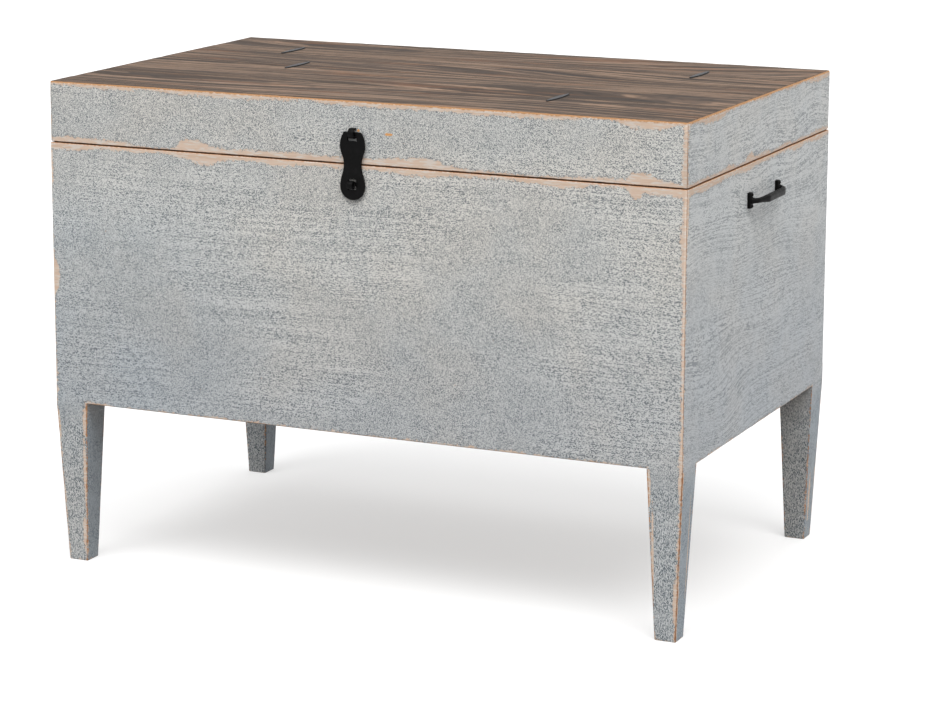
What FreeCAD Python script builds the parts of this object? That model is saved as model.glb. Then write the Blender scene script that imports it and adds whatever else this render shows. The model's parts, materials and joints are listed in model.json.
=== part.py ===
import FreeCAD, Part
import os
import re
import Sketcher

# Trunk side table: a painted wooden case on four tapered legs, with a hinged plank lid.
# The frame stands on the floor: X along the width, the front faces -Y, Z up, and the
# origin lies on the floor under the middle of the case. All lengths are millimetres.

sizes = {
    # whole table
    "overall_width": 939.8,
    "overall_depth": 584.2,
    "overall_height": 685.8,
    "lid_height": 84,
    "seam_gap": 1.6,
    "leg_clearance": 232.5,
    # legs and base rails
    "leg_head": 50,
    "leg_foot": 30,
    "leg_arris": 2,
    "rail_height": 25,
    "rail_thickness": 30,
    "tenon_length": 15,
    "tenon_thickness": 10,
    "tenon_height": 15,
    # boards
    "wall_thickness": 19,
    "bottom_thickness": 12,
    "corner_arris": 3,
    "lid_arris": 2.2,
    "seam_arris": 1,
    "wood_gap": 0.3,
    # plank top
    "plank_thickness": 16,
    "lid_lip": 3.2,
    "batten_width": 50,
    "batten_thickness": 18,
    "batten_nail_margin": 2,
    # iron cleats across the plank joints
    "cleat_length": 75,
    "cleat_width": 9,
    "cleat_tip": 2.4,
    "cleat_thickness": 2,
    "cleat_let_in": 0.6,
    "cleat_arris": 0.5,
    "prong_width": 2.6,
    "prong_length": 11,
    "prong_inset": 6,
    # hinges on the back
    "hinge_spread": 560,
    "hinge_width": 60,
    "hinge_leaf_height": 32,
    "hinge_leaf_thickness": 2,
    "hinge_leaf_corner": 5,
    "hinge_pin_radius": 2,
    "hinge_pin_end": 2,
    "hinge_nail_spread": 40,
    # slotted lid stays
    "stay_floor_gap": 62,
    "stay_drop": 30,
    "stay_width": 16,
    "stay_thickness": 2.5,
    "stay_stud_radius": 3,
    "stay_head_radius": 6,
    "stay_head_thickness": 2,
    "stay_bracket_length": 48,
    "stay_bracket_height": 16,
    "stay_bracket_thickness": 2,
    "stay_bracket_corner": 4,
    "stay_nail_spread": 38,
    "stay_slot_slack": 0.8,
    "lid_open_angle": 95,
    # hasp and its two staples
    "hasp_rise": 42.9,
    "hasp_length": 91,
    "hasp_top_width": 28,
    "hasp_upper_width": 36.5,
    "hasp_upper_height": 73.3,
    "hasp_waist_width": 25.3,
    "hasp_waist_height": 47.8,
    "hasp_lower_width": 36,
    "hasp_thickness": 3,
    "hasp_arris": 0.9,
    "hasp_top_round": 3,
    "hasp_slot_width": 13.6,
    "hasp_slot_height": 6.5,
    "hasp_bar_height": 5.5,
    "hasp_eye_slot_width": 12,
    "hasp_eye_slot_height": 14.4,
    "hasp_stand_off": 3.8,
    "staple_width": 8.5,
    "staple_thickness": 2.6,
    "staple_inner_radius": 4.4,
    "staple_depth": 15,
    "eye_width": 8,
    "eye_radius": 5.5,
    "eye_hole_radius": 3.2,
    "eye_neck_height": 5,
    "eye_rise": 20.9,
    # end handles
    "handle_drop": 49.2,
    "handle_spread": 114,
    "handle_projection": 22.5,
    "handle_bend": 8,
    "handle_arm_radius": 3.5,
    "handle_arm_lap": 2.5,
    "handle_neck_width": 9.4,
    "handle_neck_length": 3,
    "handle_foot_width": 10,
    "handle_foot_height": 21.5,
    "handle_foot_thickness": 5,
    "handle_foot_arris": 1.2,
    "handle_nail_spread": 15.4,
    "grip_length": 62,
    "grip_thickness": 8.5,
    "grip_height": 10,
    "grip_facet": 2.4,
    # forged nails
    "nail_width": 2.4,
    "nail_length": 14,
    "nail_head_width": 5.2,
    "nail_head_height": 1.8,
    "nail_peak_width": 1.8,
    # clearances
    "running_clearance": 0.06,
    "fit_clearance": 0.15,
    "moving_clearance": 0.4,
    "overrun": 5,
}

doc = FreeCAD.newDocument("TrunkSideTable")
sheet = doc.addObject("Spreadsheet::Sheet", "Sizes")
for row, (size_name, size_value) in enumerate(sizes.items(), 1):
    sheet.set(f"A{row}", size_name)
    sheet.set(f"B{row}", str(size_value))
    sheet.setAlias(f"B{row}", size_name)
doc.recompute()

# Levels and offsets that several pieces share, worked out from the sheet's sizes.
base_top = "(leg_clearance + rail_height)"
lid_bottom = "(overall_height - lid_height)"
case_top = "(overall_height - lid_height - seam_gap)"
plank_bottom = "(overall_height - plank_thickness)"
knuckle_radius = "(hinge_pin_radius + hinge_leaf_thickness)"
pin_offset = "(hinge_pin_radius + hinge_leaf_thickness + wood_gap)"
pin_level = "(overall_height - lid_height - seam_gap / 2)"
pin_depth = f"(overall_depth / 2 + {pin_offset})"
hasp_top = f"({lid_bottom} + hasp_rise)"
hasp_foot = f"({hasp_top} - hasp_length)"
hasp_pivot_level = f"({hasp_top} - hasp_bar_height / 2)"
eye_level = f"({hasp_foot} + eye_rise)"
bar_reach = "sqrt((hasp_bar_height / 2) ^ 2 + (hasp_thickness / 2) ^ 2)"
staple_level = f"({hasp_pivot_level} + staple_inner_radius - {bar_reach} - wood_gap)"
eye_offset = "(hasp_stand_off + hasp_thickness / 2 + moving_clearance + eye_hole_radius)"
stay_wall = "(overall_width / 2 - wall_thickness)"
stay_plane = f"({stay_wall} - stay_bracket_thickness - wood_gap)"
stay_closed = "(2 * stay_drop)"
stay_open = (
    f"({pin_level} + stay_drop - stay_width / 2"
    f" - {base_top} - bottom_thickness - stay_floor_gap)"
)
stay_reach = (
    f"(({stay_open} / 2 - stay_drop * cos(lid_open_angle * 1 deg / 2))"
    " / sin(lid_open_angle * 1 deg / 2))"
)
handle_level = f"({case_top} - handle_drop)"
arm_rise = "(handle_projection - grip_thickness / 2 - handle_foot_thickness)"
arm_run = "((handle_spread - grip_length) / 2 - handle_bend)"
arm_splay = f"(atan({arm_run} / {arm_rise}) + asin(handle_bend / sqrt({arm_run} ^ 2 + {arm_rise} ^ 2)))"
stud_radius_in_slot = "(stay_stud_radius + moving_clearance)"
plank_joint_spacing = "(overall_depth / 4)"

UP = FreeCAD.Vector(0, 0, 1)
ROD_TURNS = {
    "+x": FreeCAD.Rotation(FreeCAD.Vector(0, 1, 0), 90),
    "-x": FreeCAD.Rotation(FreeCAD.Vector(0, 1, 0), -90),
}

# A nail is drawn along +y; these turns point it the other ways.
NAIL_TURNS = {
    "+x": FreeCAD.Rotation(UP, -90),
    "-x": FreeCAD.Rotation(UP, 90),
    "+y": FreeCAD.Rotation(),
    "-y": FreeCAD.Rotation(UP, 180),
    "+z": FreeCAD.Rotation(FreeCAD.Vector(1, 0, 0), 90),
}

# Each side of the table has a frame of its own: x along the side, outward is -y.
SIDES = {
    "front": {"turn": 0, "length": "overall_width", "across": "overall_depth"},
    "right": {"turn": 90, "length": "overall_depth", "across": "overall_width"},
    "back": {"turn": 180, "length": "overall_width", "across": "overall_depth"},
    "left": {"turn": 270, "length": "overall_depth", "across": "overall_width"},
}
ENDS = {"left": -1, "right": 1}

nodes = []


def linked(expression):
    """Point every size's name in an expression at the sheet."""
    def to_cell(word):
        return f"Sizes.{word.group()}" if word.group() in sizes else word.group()

    return re.sub(r"[a-z_]+", to_cell, expression)


def number(expression):
    result = sheet.evalExpression(linked(expression))
    return float(getattr(result, "Value", result))


def bind(feature, **expressions):
    for name, expression in expressions.items():
        feature.setExpression(name, linked(expression))


def place(feature, point, turn=None):
    if turn:
        feature.Placement = FreeCAD.Placement(FreeCAD.Vector(), turn)
    for axis, expression in zip("xyz", point):
        feature.setExpression(f"Placement.Base.{axis}", linked(expression))


def new_body(label, side="front"):
    body = doc.addObject("PartDesign::Body", label)
    body.Label = label
    body.Placement = FreeCAD.Placement(
        FreeCAD.Vector(), FreeCAD.Rotation(UP, SIDES[side]["turn"])
    )
    nodes.append(body)
    return body


def box(body, kind, name, centre, extent):
    feature = body.newObject(f"PartDesign::{kind}Box", name)
    bind(feature, Length=extent[0], Width=extent[1], Height=extent[2])
    place(feature, [f"{middle} - ({size}) / 2" for middle, size in zip(centre, extent)])
    return feature


def rod(body, kind, name, start, direction, radius, length):
    feature = body.newObject(f"PartDesign::{kind}Cylinder", name)
    bind(feature, Radius=radius, Height=length)
    place(feature, start, ROD_TURNS[direction])
    return feature


def nail(name, point, direction, length):
    """A forged nail as one solid: a square shank under a faceted head that stands proud."""
    shank = doc.addObject("Part::Box", f"{name}Shank")
    bind(shank, Length="nail_width", Width=length, Height="nail_width")
    place(shank, ("-nail_width / 2", "0", "-nail_width / 2"))
    head = doc.addObject("Part::Wedge", f"{name}Head")
    bind(head, Ymin="-nail_head_height", Ymax="0",
         Xmin="-nail_peak_width / 2", Xmax="nail_peak_width / 2",
         Zmin="-nail_peak_width / 2", Zmax="nail_peak_width / 2",
         X2min="-nail_head_width / 2", X2max="nail_head_width / 2",
         Z2min="-nail_head_width / 2", Z2max="nail_head_width / 2")
    whole = doc.addObject("Part::MultiFuse", name)
    whole.Shapes = [shank, head]
    place(whole, point, NAIL_TURNS[direction])
    return whole


def nail_group(label, nails, side="front"):
    group = doc.addObject("Part::Compound", label)
    group.Label = label
    group.Links = nails
    group.Placement = FreeCAD.Placement(
        FreeCAD.Vector(), FreeCAD.Rotation(UP, SIDES[side]["turn"])
    )
    nodes.append(group)


def nail_hole(body, name, point, direction, depth):
    """A square hole from just outside the surface point to this depth."""
    sign, axis = direction
    centre, extent = [], []
    for letter, place_expression in zip("xyz", point):
        if letter == axis:
            centre.append(f"{place_expression} {sign} (({depth}) - overrun) / 2")
            extent.append(f"({depth}) + overrun")
        else:
            centre.append(place_expression)
            extent.append("nail_width + 2 * fit_clearance")
    box(body, "Subtractive", name, centre, extent)


def sketch_on(body, name, plane, offset):
    sketch = body.newObject("Sketcher::SketchObject", name)
    origin_plane = [f for f in body.Origin.OriginFeatures if f.Role == plane][0]
    sketch.AttachmentSupport = [(origin_plane, "")]
    sketch.MapMode = "FlatFace"
    sketch.setExpression("AttachmentOffset.Base.z", linked(offset))
    return sketch


def arc_geometry(start, end, rule):
    """A minor arc whose centre is level or plumb with its start or end point.

    The flag says whether the arc, which always runs anticlockwise, keeps its direction.
    """
    near, far = (start, end) if rule.endswith("start") else (end, start)
    step = far - near
    axis = FreeCAD.Vector(1, 0, 0) if rule.startswith("level") else FreeCAD.Vector(0, 1, 0)
    centre = near + axis * (step.dot(step) / (2 * step.dot(axis)))
    first, last = start - centre, end - centre
    forward = first.cross(last).z > 0
    if not forward:
        first, last = last, first
    across = FreeCAD.Vector(1, 0, 0)
    angles = [spoke.getAngle(across) * (1 if spoke.y >= 0 else -1) for spoke in (first, last)]
    circle = Part.Circle(centre, UP, first.Length)
    return Part.ArcOfCircle(circle, *angles), forward


def draw_outline(sketch, points, closed=True):
    """Draw lines and arcs from point to point and tie each point to the sheet.

    A point is (x, y), or (x, y, rule) where an arc that follows the rule ends there.
    """
    values = [FreeCAD.Vector(number(point[0]), number(point[1]), 0) for point in points]
    count = len(points)
    pieces = []
    for index in range(count if closed else count - 1):
        start, end = values[index], values[(index + 1) % count]
        rule = points[(index + 1) % count][2:]
        if rule:
            arc, forward = arc_geometry(start, end, rule[0])
            piece = sketch.addGeometry(arc)
            ends = (1, 2) if forward else (2, 1)
            kind = "Horizontal" if rule[0].startswith("level") else "Vertical"
            anchor = ends[0] if rule[0].endswith("start") else ends[1]
            sketch.addConstraint(Sketcher.Constraint(kind, piece, 3, piece, anchor))
        else:
            piece = sketch.addGeometry(Part.LineSegment(start, end))
            ends = (1, 2)
        pieces.append((piece, ends))
    for index, (piece, ends) in enumerate(pieces):
        if closed or index:
            before, before_ends = pieces[index - 1]
            sketch.addConstraint(
                Sketcher.Constraint("Coincident", before, before_ends[1], piece, ends[0])
            )
        tie_point(sketch, piece, ends[0], points[index], values[index])
    if not closed:
        piece, ends = pieces[-1]
        tie_point(sketch, piece, ends[1], points[-1], values[-1])


def tie_point(sketch, piece, end, point, value):
    for kind, expression, start_value in zip(("DistanceX", "DistanceY"), point, value):
        constraint = Sketcher.Constraint(kind, -1, 1, piece, end, start_value)
        index = sketch.addConstraint(constraint)
        sketch.setExpression(f"Constraints[{index}]", linked(expression))


def eight_sided(width, height, cut):
    """The corners of a rectangle with its corners cut off at 45 degrees."""
    wide, tall = f"({width} / 2)", f"({height} / 2)"
    return [
        (f"-{wide}", f"{cut} - {tall}"),
        (f"{cut} - {wide}", f"-{tall}"),
        (f"{wide} - {cut}", f"-{tall}"),
        (wide, f"{cut} - {tall}"),
        (wide, f"{tall} - {cut}"),
        (f"{wide} - {cut}", tall),
        (f"{cut} - {wide}", tall),
        (f"-{wide}", f"{tall} - {cut}"),
    ]


def pad(body, name, sketch, length, symmetric=False):
    feature = body.newObject("PartDesign::Pad", name)
    feature.Profile = sketch
    feature.setExpression("Length", linked(length))
    if symmetric:
        feature.SideType = "Symmetric"
    sketch.Visibility = False
    return feature


def dress_edges(body, kind, name, amount, chosen):
    doc.recompute()
    base = body.Tip
    edges = [f"Edge{i}" for i, edge in enumerate(base.Shape.Edges, 1) if chosen(edge)]
    if not edges:
        raise ValueError(f"{body.Label}: no edge found for {name}")
    feature = body.newObject(f"PartDesign::{kind}", name)
    feature.Base = (base, edges)
    feature.setExpression("Radius" if kind == "Fillet" else "Size", linked(amount))
    return feature


def lies_at(edge, axis, value):
    """Whether the whole edge lies in the plane where this axis has this value."""
    box_of_edge = edge.BoundBox
    low, high = getattr(box_of_edge, f"{axis}Min"), getattr(box_of_edge, f"{axis}Max")
    near = number("wood_gap") / 10
    return abs(low - value) < near and abs(high - value) < near


def runs_along(edge, axis):
    """Whether the edge is straight and parallel to this axis."""
    box_of_edge = edge.BoundBox
    others = [getattr(box_of_edge, f"{name}Length") for name in "XYZ" if name != axis]
    return max(others) < number("wood_gap") / 10


# Wooden base frame

def build_legs():
    """Square legs, tapered on all four faces from the underside of the case to the foot."""
    for end, across in ENDS.items():
        for face, along in (("front", -1), ("back", 1)):
            leg = new_body(f"{face}_{end}_leg")
            place(leg, (f"{across} * (overall_width - leg_head) / 2",
                        f"{along} * (overall_depth - leg_head) / 2", "0"))
            taper = leg.newObject("PartDesign::AdditiveWedge", "Taper")
            bind(taper, Ymin="0", Ymax="leg_clearance",
                 Xmin="-leg_foot / 2", Xmax="leg_foot / 2",
                 Zmin="-leg_foot / 2", Zmax="leg_foot / 2",
                 X2min="-leg_head / 2", X2max="leg_head / 2",
                 Z2min="-leg_head / 2", Z2max="leg_head / 2")
            taper.Placement = FreeCAD.Placement(FreeCAD.Vector(), NAIL_TURNS["+z"])
            dress_edges(leg, "Chamfer", "Arrises", "leg_arris",
                        lambda edge: edge.BoundBox.ZLength > edge.BoundBox.XLength)
            head = sketch_on(leg, "HeadOutline", "XY_Plane", "leg_clearance")
            draw_outline(head, eight_sided("leg_head", "leg_head", "leg_arris"))
            pad(leg, "Head", head, "rail_height")
            cut_mortise(leg, "AlongX", -across, 0)
            cut_mortise(leg, "AlongY", 0, -along)


def cut_mortise(leg, name, x_sign, y_sign):
    """A blind mortise in the leg head, on the side that the signs point to."""
    reach = "(leg_head / 2 - (tenon_length + fit_clearance - overrun) / 2)"
    long_side = "(tenon_length + fit_clearance + overrun)"
    box(leg, "Subtractive", f"Mortise{name}",
        (f"{x_sign} * {reach}", f"{y_sign} * {reach}", "leg_clearance + rail_height / 2"),
        (long_side if x_sign else "tenon_thickness",
         long_side if y_sign else "tenon_thickness",
         "tenon_height"))


def build_rails():
    """Rails between the leg heads, flush with the case, with tenons in the legs."""
    for side, frame in SIDES.items():
        rail = new_body(f"{side}_rail", side)
        run = f"({frame['length']} - 2 * leg_head)"
        level = "leg_clearance + rail_height / 2"
        box(rail, "Additive", "Rail",
            ("0", f"(rail_thickness - {frame['across']}) / 2", level),
            (run, "rail_thickness", "rail_height"))
        dress_edges(rail, "Chamfer", "BottomArris", "seam_arris",
                    lambda edge: runs_along(edge, "X")
                    and lies_at(edge, "Z", number("leg_clearance"))
                    and lies_at(edge, "Y", -number(frame["across"]) / 2))
        box(rail, "Additive", "Tenons",
            ("0", f"(leg_head - {frame['across']}) / 2", level),
            (f"{run} + 2 * tenon_length", "tenon_thickness", "tenon_height"))


# Case and lid boards

def mitred_board(label, side, low, high):
    """An upright board with 45 degree mitred ends and an eased arris at each mitre."""
    frame = SIDES[side]
    board = new_body(label, side)
    half, face = f"{frame['length']} / 2", f"-{frame['across']} / 2"
    plan = sketch_on(board, "Plan", "XY_Plane", low)
    draw_outline(plan, [
        (f"corner_arris - {half}", face),
        (f"{half} - corner_arris", face),
        (f"{half} - corner_arris / 2", f"{face} + corner_arris / 2"),
        (f"{half} - wall_thickness", f"{face} + wall_thickness"),
        (f"wall_thickness - {half}", f"{face} + wall_thickness"),
        (f"corner_arris / 2 - {half}", f"{face} + corner_arris / 2"),
    ])
    pad(board, "Board", plan, f"{high} - {low}")
    return board


def ease_outer_edge(board, side, name, level, amount):
    face = -number(SIDES[side]["across"]) / 2
    inner = face + number("corner_arris")
    dress_edges(board, "Chamfer", name, amount,
                lambda edge: lies_at(edge, "Z", number(level)) and edge.BoundBox.YMax < inner)


def build_case():
    for side, frame in SIDES.items():
        panel = mitred_board(f"{side}_panel", side, base_top, case_top)
        ease_outer_edge(panel, side, "SeamArris", case_top, "seam_arris")
        if side == "front":
            box(panel, "Subtractive", "EyeHole",
                ("0", "(staple_depth - overrun - overall_depth) / 2", eye_level),
                ("eye_width + 2 * fit_clearance", "staple_depth + overrun + fit_clearance",
                 "eye_neck_height + 2 * fit_clearance"))
        if side == "back":
            drill_hinge_holes(panel, -1)
        if side in ENDS:
            drill_handle_holes(panel, frame)
            drill_stay_holes(panel, side, -1)
    bottom = new_body("bottom_panel")
    box(bottom, "Additive", "Board",
        ("0", "0", f"{base_top} + bottom_thickness / 2"),
        ("overall_width - 2 * (wall_thickness + wood_gap)",
         "overall_depth - 2 * (wall_thickness + wood_gap)", "bottom_thickness"))


def build_lid_rim():
    """Four mitred lid boards, rebated inside so that a thin lip frames the planks."""
    for side, frame in SIDES.items():
        board = mitred_board(f"lid_{side}_board", side, lid_bottom, "overall_height")
        ease_outer_edge(board, side, "TopArris", "overall_height", "lid_arris")
        ease_outer_edge(board, side, "SeamArris", lid_bottom, "seam_arris")
        box(board, "Subtractive", "PlankRebate",
            ("0", f"lid_lip + overrun - {frame['across']} / 2 + wall_thickness / 2",
             f"{plank_bottom} + (plank_thickness + overrun) / 2"),
            (frame["length"], "wall_thickness + 2 * overrun", "plank_thickness + overrun"))
        if side == "front":
            for name, level in (("Upper", 1), ("Lower", -1)):
                box(board, "Subtractive", f"{name}StapleSlot",
                    ("0", "(staple_depth - overrun - overall_depth) / 2",
                     f"{staple_level} + {level}"
                     " * (staple_inner_radius + staple_thickness / 2)"),
                    ("staple_width + 2 * fit_clearance",
                     "staple_depth + overrun + fit_clearance",
                     "staple_thickness + 2 * fit_clearance"))
        if side == "back":
            drill_hinge_holes(board, 1)
        if side in ENDS:
            drill_stay_holes(board, side, 1)


# Plank top

PLANKS = ("front", "front_middle", "back_middle", "back")
CLEATS = {
    "back_left": {"width_share": -0.347, "joint": 3, "slide_share": 0.2},
    "middle_left": {"width_share": -0.255, "joint": 2, "slide_share": 0.107},
    "back_right": {"width_share": 0.3405, "joint": 3, "slide_share": 0.133},
    "front_right": {"width_share": 0.247, "joint": 1, "slide_share": -0.053},
}
batten_shares = {"left": -0.3, "right": 0.3}


def joint_depth(joint):
    return f"({joint} * {plank_joint_spacing} - overall_depth / 2)"


def cleat_centre(cleat):
    return (f"{cleat['width_share']} * overall_width",
            f"{joint_depth(cleat['joint'])} + {cleat['slide_share']} * cleat_length")


def leaf_outline(x, y, margin):
    """The pointed leaf shape of a cleat round this centre, grown by a margin."""
    tip, middle = f"(cleat_tip / 2 + {margin})", f"(cleat_width / 2 + {margin})"
    near, far = f"{y} - cleat_length / 2 - {margin}", f"{y} + cleat_length / 2 + {margin}"
    return [
        (f"{x} - {tip}", near, "level start"),
        (f"{x} + {tip}", near),
        (f"{x} + {middle}", y, "level end"),
        (f"{x} + {tip}", far, "level start"),
        (f"{x} - {tip}", far),
        (f"{x} - {middle}", y, "level end"),
    ]


def build_planks():
    hole_depth = "(cleat_let_in + prong_length + wood_gap)"
    for index, name in enumerate(PLANKS):
        near = "lid_lip + wood_gap" if index == 0 else "wood_gap / 2"
        far = "lid_lip + wood_gap" if index == len(PLANKS) - 1 else "wood_gap / 2"
        plank = new_body(f"{name}_plank")
        width = f"({plank_joint_spacing} - ({near}) - ({far}))"
        middle = f"({joint_depth(index)} + {near} + {width} / 2)"
        box(plank, "Additive", "Plank",
            ("0", middle, "overall_height - plank_thickness / 2"),
            ("overall_width - 2 * (lid_lip + wood_gap)", width, "plank_thickness"))
        for cleat_name, cleat in CLEATS.items():
            if index not in (cleat["joint"] - 1, cleat["joint"]):
                continue
            toward = 1 if index == cleat["joint"] else -1
            x, y = cleat_centre(cleat)
            seat = sketch_on(plank, f"SeatOutline_{cleat_name}", "XY_Plane", "overall_height")
            draw_outline(seat, leaf_outline(x, y, "fit_clearance"))
            recess = plank.newObject("PartDesign::Pocket", f"Seat_{cleat_name}")
            recess.Profile = seat
            recess.setExpression("Length", linked("cleat_let_in"))
            box(plank, "Subtractive", f"ProngHole_{cleat_name}",
                (x, f"{y} + {toward} * (cleat_length / 2 - prong_inset)",
                 f"overall_height - ({hole_depth} - overrun) / 2"),
                ("prong_width + 2 * fit_clearance", "prong_width + 2 * fit_clearance",
                 f"{hole_depth} + overrun"))
        for batten, share in batten_shares.items():
            nail_hole(plank, f"BattenNailHole_{batten}",
                      (f"{share} * overall_width", batten_nail_depth(index), plank_bottom),
                      "+z", "nail_length - batten_nail_margin")


def batten_nail_depth(index):
    return f"({joint_depth(index)} + {plank_joint_spacing} / 2)"


def build_battens():
    nails = []
    for batten, share in batten_shares.items():
        body = new_body(f"lid_{batten}_batten")
        x = f"{share} * overall_width"
        low = f"({plank_bottom} - batten_thickness)"
        box(body, "Additive", "Batten",
            (x, "0", f"{plank_bottom} - batten_thickness / 2"),
            ("batten_width", "overall_depth - 2 * (wall_thickness + wood_gap)",
             "batten_thickness"))
        for index, name in enumerate(PLANKS):
            point = (x, batten_nail_depth(index), low)
            nail_hole(body, f"NailHole_{name}", point, "+z", "batten_thickness + overrun")
            nails.append(nail(f"BattenNail_{batten}_{name}", point, "+z",
                              "batten_thickness + nail_length - 2 * batten_nail_margin"))
    nail_group("lid_batten_nails", nails)


def build_cleats():
    """Leaf-shaped forged cleats, let into the planks and driven across a joint by two prongs."""
    for name, cleat in CLEATS.items():
        body = new_body(f"{name}_cleat")
        place(body, (*cleat_centre(cleat), "overall_height - cleat_let_in"))
        leaf = sketch_on(body, "Leaf", "XY_Plane", "0")
        draw_outline(leaf, leaf_outline("0", "0", "0"))
        pad(body, "Strip", leaf, "cleat_thickness")
        dress_edges(body, "Chamfer", "HammeredEdge", "cleat_arris",
                    lambda edge: lies_at(edge, "Z", number("cleat_thickness")))
        for end, sign in (("Near", -1), ("Far", 1)):
            box(body, "Additive", f"{end}Prong",
                ("0", f"{sign} * (cleat_length / 2 - prong_inset)",
                 "(cleat_arris - prong_length) / 2"),
                ("prong_width", "prong_width", "prong_length + cleat_arris"))


# Hinges on the back

def hinge_nail_places(upward):
    """The three nail points of one leaf, as offsets from the middle of the hinge."""
    level = f"({pin_level} + {upward} * ({knuckle_radius} + hinge_leaf_height) / 2)"
    return [(f"{share} * hinge_nail_spread", level) for share in (-0.5, 0, 0.5)]


def hinge_middles():
    return {"left": "hinge_spread / 2", "right": "-hinge_spread / 2"}


def drill_hinge_holes(board, upward):
    for hinge, middle in hinge_middles().items():
        for index, (x, z) in enumerate(hinge_nail_places(upward)):
            nail_hole(board, f"HingeNailHole_{hinge}_{index}",
                      (f"{middle} + {x}", "-overall_depth / 2", z), "+y",
                      "nail_length + wood_gap")


def build_hinge_leaves():
    """Two leaves on each pin: the lid leaf has the middle knuckle, the case leaf the others."""
    third = "(hinge_width / 3)"
    for hinge, middle in hinge_middles().items():
        for part, upward, knuckles in (("lid", 1, [0]), ("case", -1, [-1, 1])):
            leaf = new_body(f"{hinge}_hinge_{part}_leaf", "back")
            gap = f"({knuckle_radius} + moving_clearance)"
            height = f"(hinge_leaf_height - {gap})"
            box(leaf, "Additive", "Plate",
                (middle, "-(overall_depth + hinge_leaf_thickness) / 2",
                 f"{pin_level} + {upward} * ({gap} + {height} / 2)"),
                ("hinge_width", "hinge_leaf_thickness", height))
            far = number(f"{pin_level} + {upward} * hinge_leaf_height")
            dress_edges(leaf, "Chamfer", "Corners", "hinge_leaf_corner",
                        lambda edge: runs_along(edge, "Y") and lies_at(edge, "Z", far))
            for index in knuckles:
                centre = f"({middle} + {index} * {third})"
                length = f"({third} - moving_clearance)"
                box(leaf, "Additive", f"Web{index + 1}",
                    (centre, "-(overall_depth + hinge_leaf_thickness) / 2",
                     f"{pin_level} + {upward} * ({gap} + seam_arris) / 2"),
                    (length, "hinge_leaf_thickness", f"{gap} + seam_arris"))
                rod(leaf, "Additive", f"Knuckle{index + 1}",
                    (f"{centre} - {length} / 2", f"-{pin_depth}", pin_level), "+x",
                    knuckle_radius, length)
            rod(leaf, "Subtractive", "PinHole",
                (f"{middle} - hinge_width / 2 - overrun", f"-{pin_depth}", pin_level), "+x",
                "hinge_pin_radius + running_clearance", "hinge_width + 2 * overrun")
            for index, (x, z) in enumerate(hinge_nail_places(upward)):
                nail_hole(leaf, f"NailHole{index}",
                          (f"{middle} + {x}", "-overall_depth / 2 - hinge_leaf_thickness", z),
                          "+y", "hinge_leaf_thickness + overrun")


def build_hinge_pins():
    for hinge, middle in hinge_middles().items():
        pin = new_body(f"{hinge}_hinge_pin", "back")
        rod(pin, "Additive", "Pin",
            (f"{middle} - hinge_width / 2 - hinge_pin_end", f"-{pin_depth}", pin_level),
            "+x", "hinge_pin_radius", "hinge_width + 2 * hinge_pin_end")


def build_hinge_nails():
    for part, upward in (("lid", 1), ("case", -1)):
        nails = [
            nail(f"HingeNail_{part}_{hinge}_{index}",
                 (f"{middle} + {x}", "-overall_depth / 2 - hinge_leaf_thickness", z), "+y",
                 "hinge_leaf_thickness + nail_length")
            for hinge, middle in hinge_middles().items()
            for index, (x, z) in enumerate(hinge_nail_places(upward))
        ]
        nail_group(f"{part}_hinge_nails", nails, "back")


# Slotted lid stays, one at each end, all lengths in the table's own frame

def stay_point(upward):
    """Where a stay is carried: the lid pivot above the seam, the guide stud below it."""
    return (f"({pin_depth} - {stay_reach})", f"({pin_level} + {upward} * stay_drop)")


def drill_stay_holes(board, side, upward):
    """Nail holes from the inside of an end board; x in the board's frame runs along Y."""
    end = ENDS[side]
    along, level = stay_point(upward)
    for index, share in enumerate((-0.5, 0.5)):
        nail_hole(board, f"StayNailHole{index}",
                  (f"{end} * ({along} + {share} * stay_nail_spread)",
                   "wall_thickness - overall_width / 2", level),
                  "-y", "nail_length + wood_gap")


def build_stay_brackets():
    """A riveted plate with a shouldered stud, one on the lid and one on the case."""
    for side, end in ENDS.items():
        inward, outward = ("-x", "+x") if end > 0 else ("+x", "-x")
        for part, upward in (("lid", 1), ("case", -1)):
            along, level = stay_point(upward)
            bracket = new_body(f"{side}_stay_{part}_bracket")
            box(bracket, "Additive", "Plate",
                (f"{end} * ({stay_wall} - stay_bracket_thickness / 2)", along, level),
                ("stay_bracket_thickness", "stay_bracket_length", "stay_bracket_height"))
            dress_edges(bracket, "Chamfer", "Corners", "stay_bracket_corner",
                        lambda edge: runs_along(edge, "X"))
            shoulder = "(stay_bracket_thickness + stay_thickness + 2 * wood_gap)"
            rod(bracket, "Additive", "Stud", (f"{end} * {stay_wall}", along, level), inward,
                "stay_stud_radius", shoulder)
            rod(bracket, "Additive", "Head",
                (f"{end} * ({stay_wall} - {shoulder})", along, level), inward,
                "stay_head_radius", "stay_head_thickness")
            for index, share in enumerate((-0.5, 0.5)):
                nail_hole(bracket, f"NailHole{index}",
                          (f"{end} * ({stay_wall} - stay_bracket_thickness)",
                           f"{along} + {share} * stay_nail_spread", level),
                          outward, "stay_bracket_thickness + overrun")


def build_stay_nails():
    for part, upward in (("lid", 1), ("case", -1)):
        along, level = stay_point(upward)
        nails = [
            nail(f"StayNail_{part}_{side}_{index}",
                 (f"{end} * ({stay_wall} - stay_bracket_thickness)",
                  f"{along} + {share} * stay_nail_spread", level),
                 "+x" if end > 0 else "-x", "stay_bracket_thickness + nail_length")
            for side, end in ENDS.items()
            for index, share in enumerate((-0.5, 0.5))
        ]
        nail_group(f"{part}_stay_nails", nails)


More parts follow.
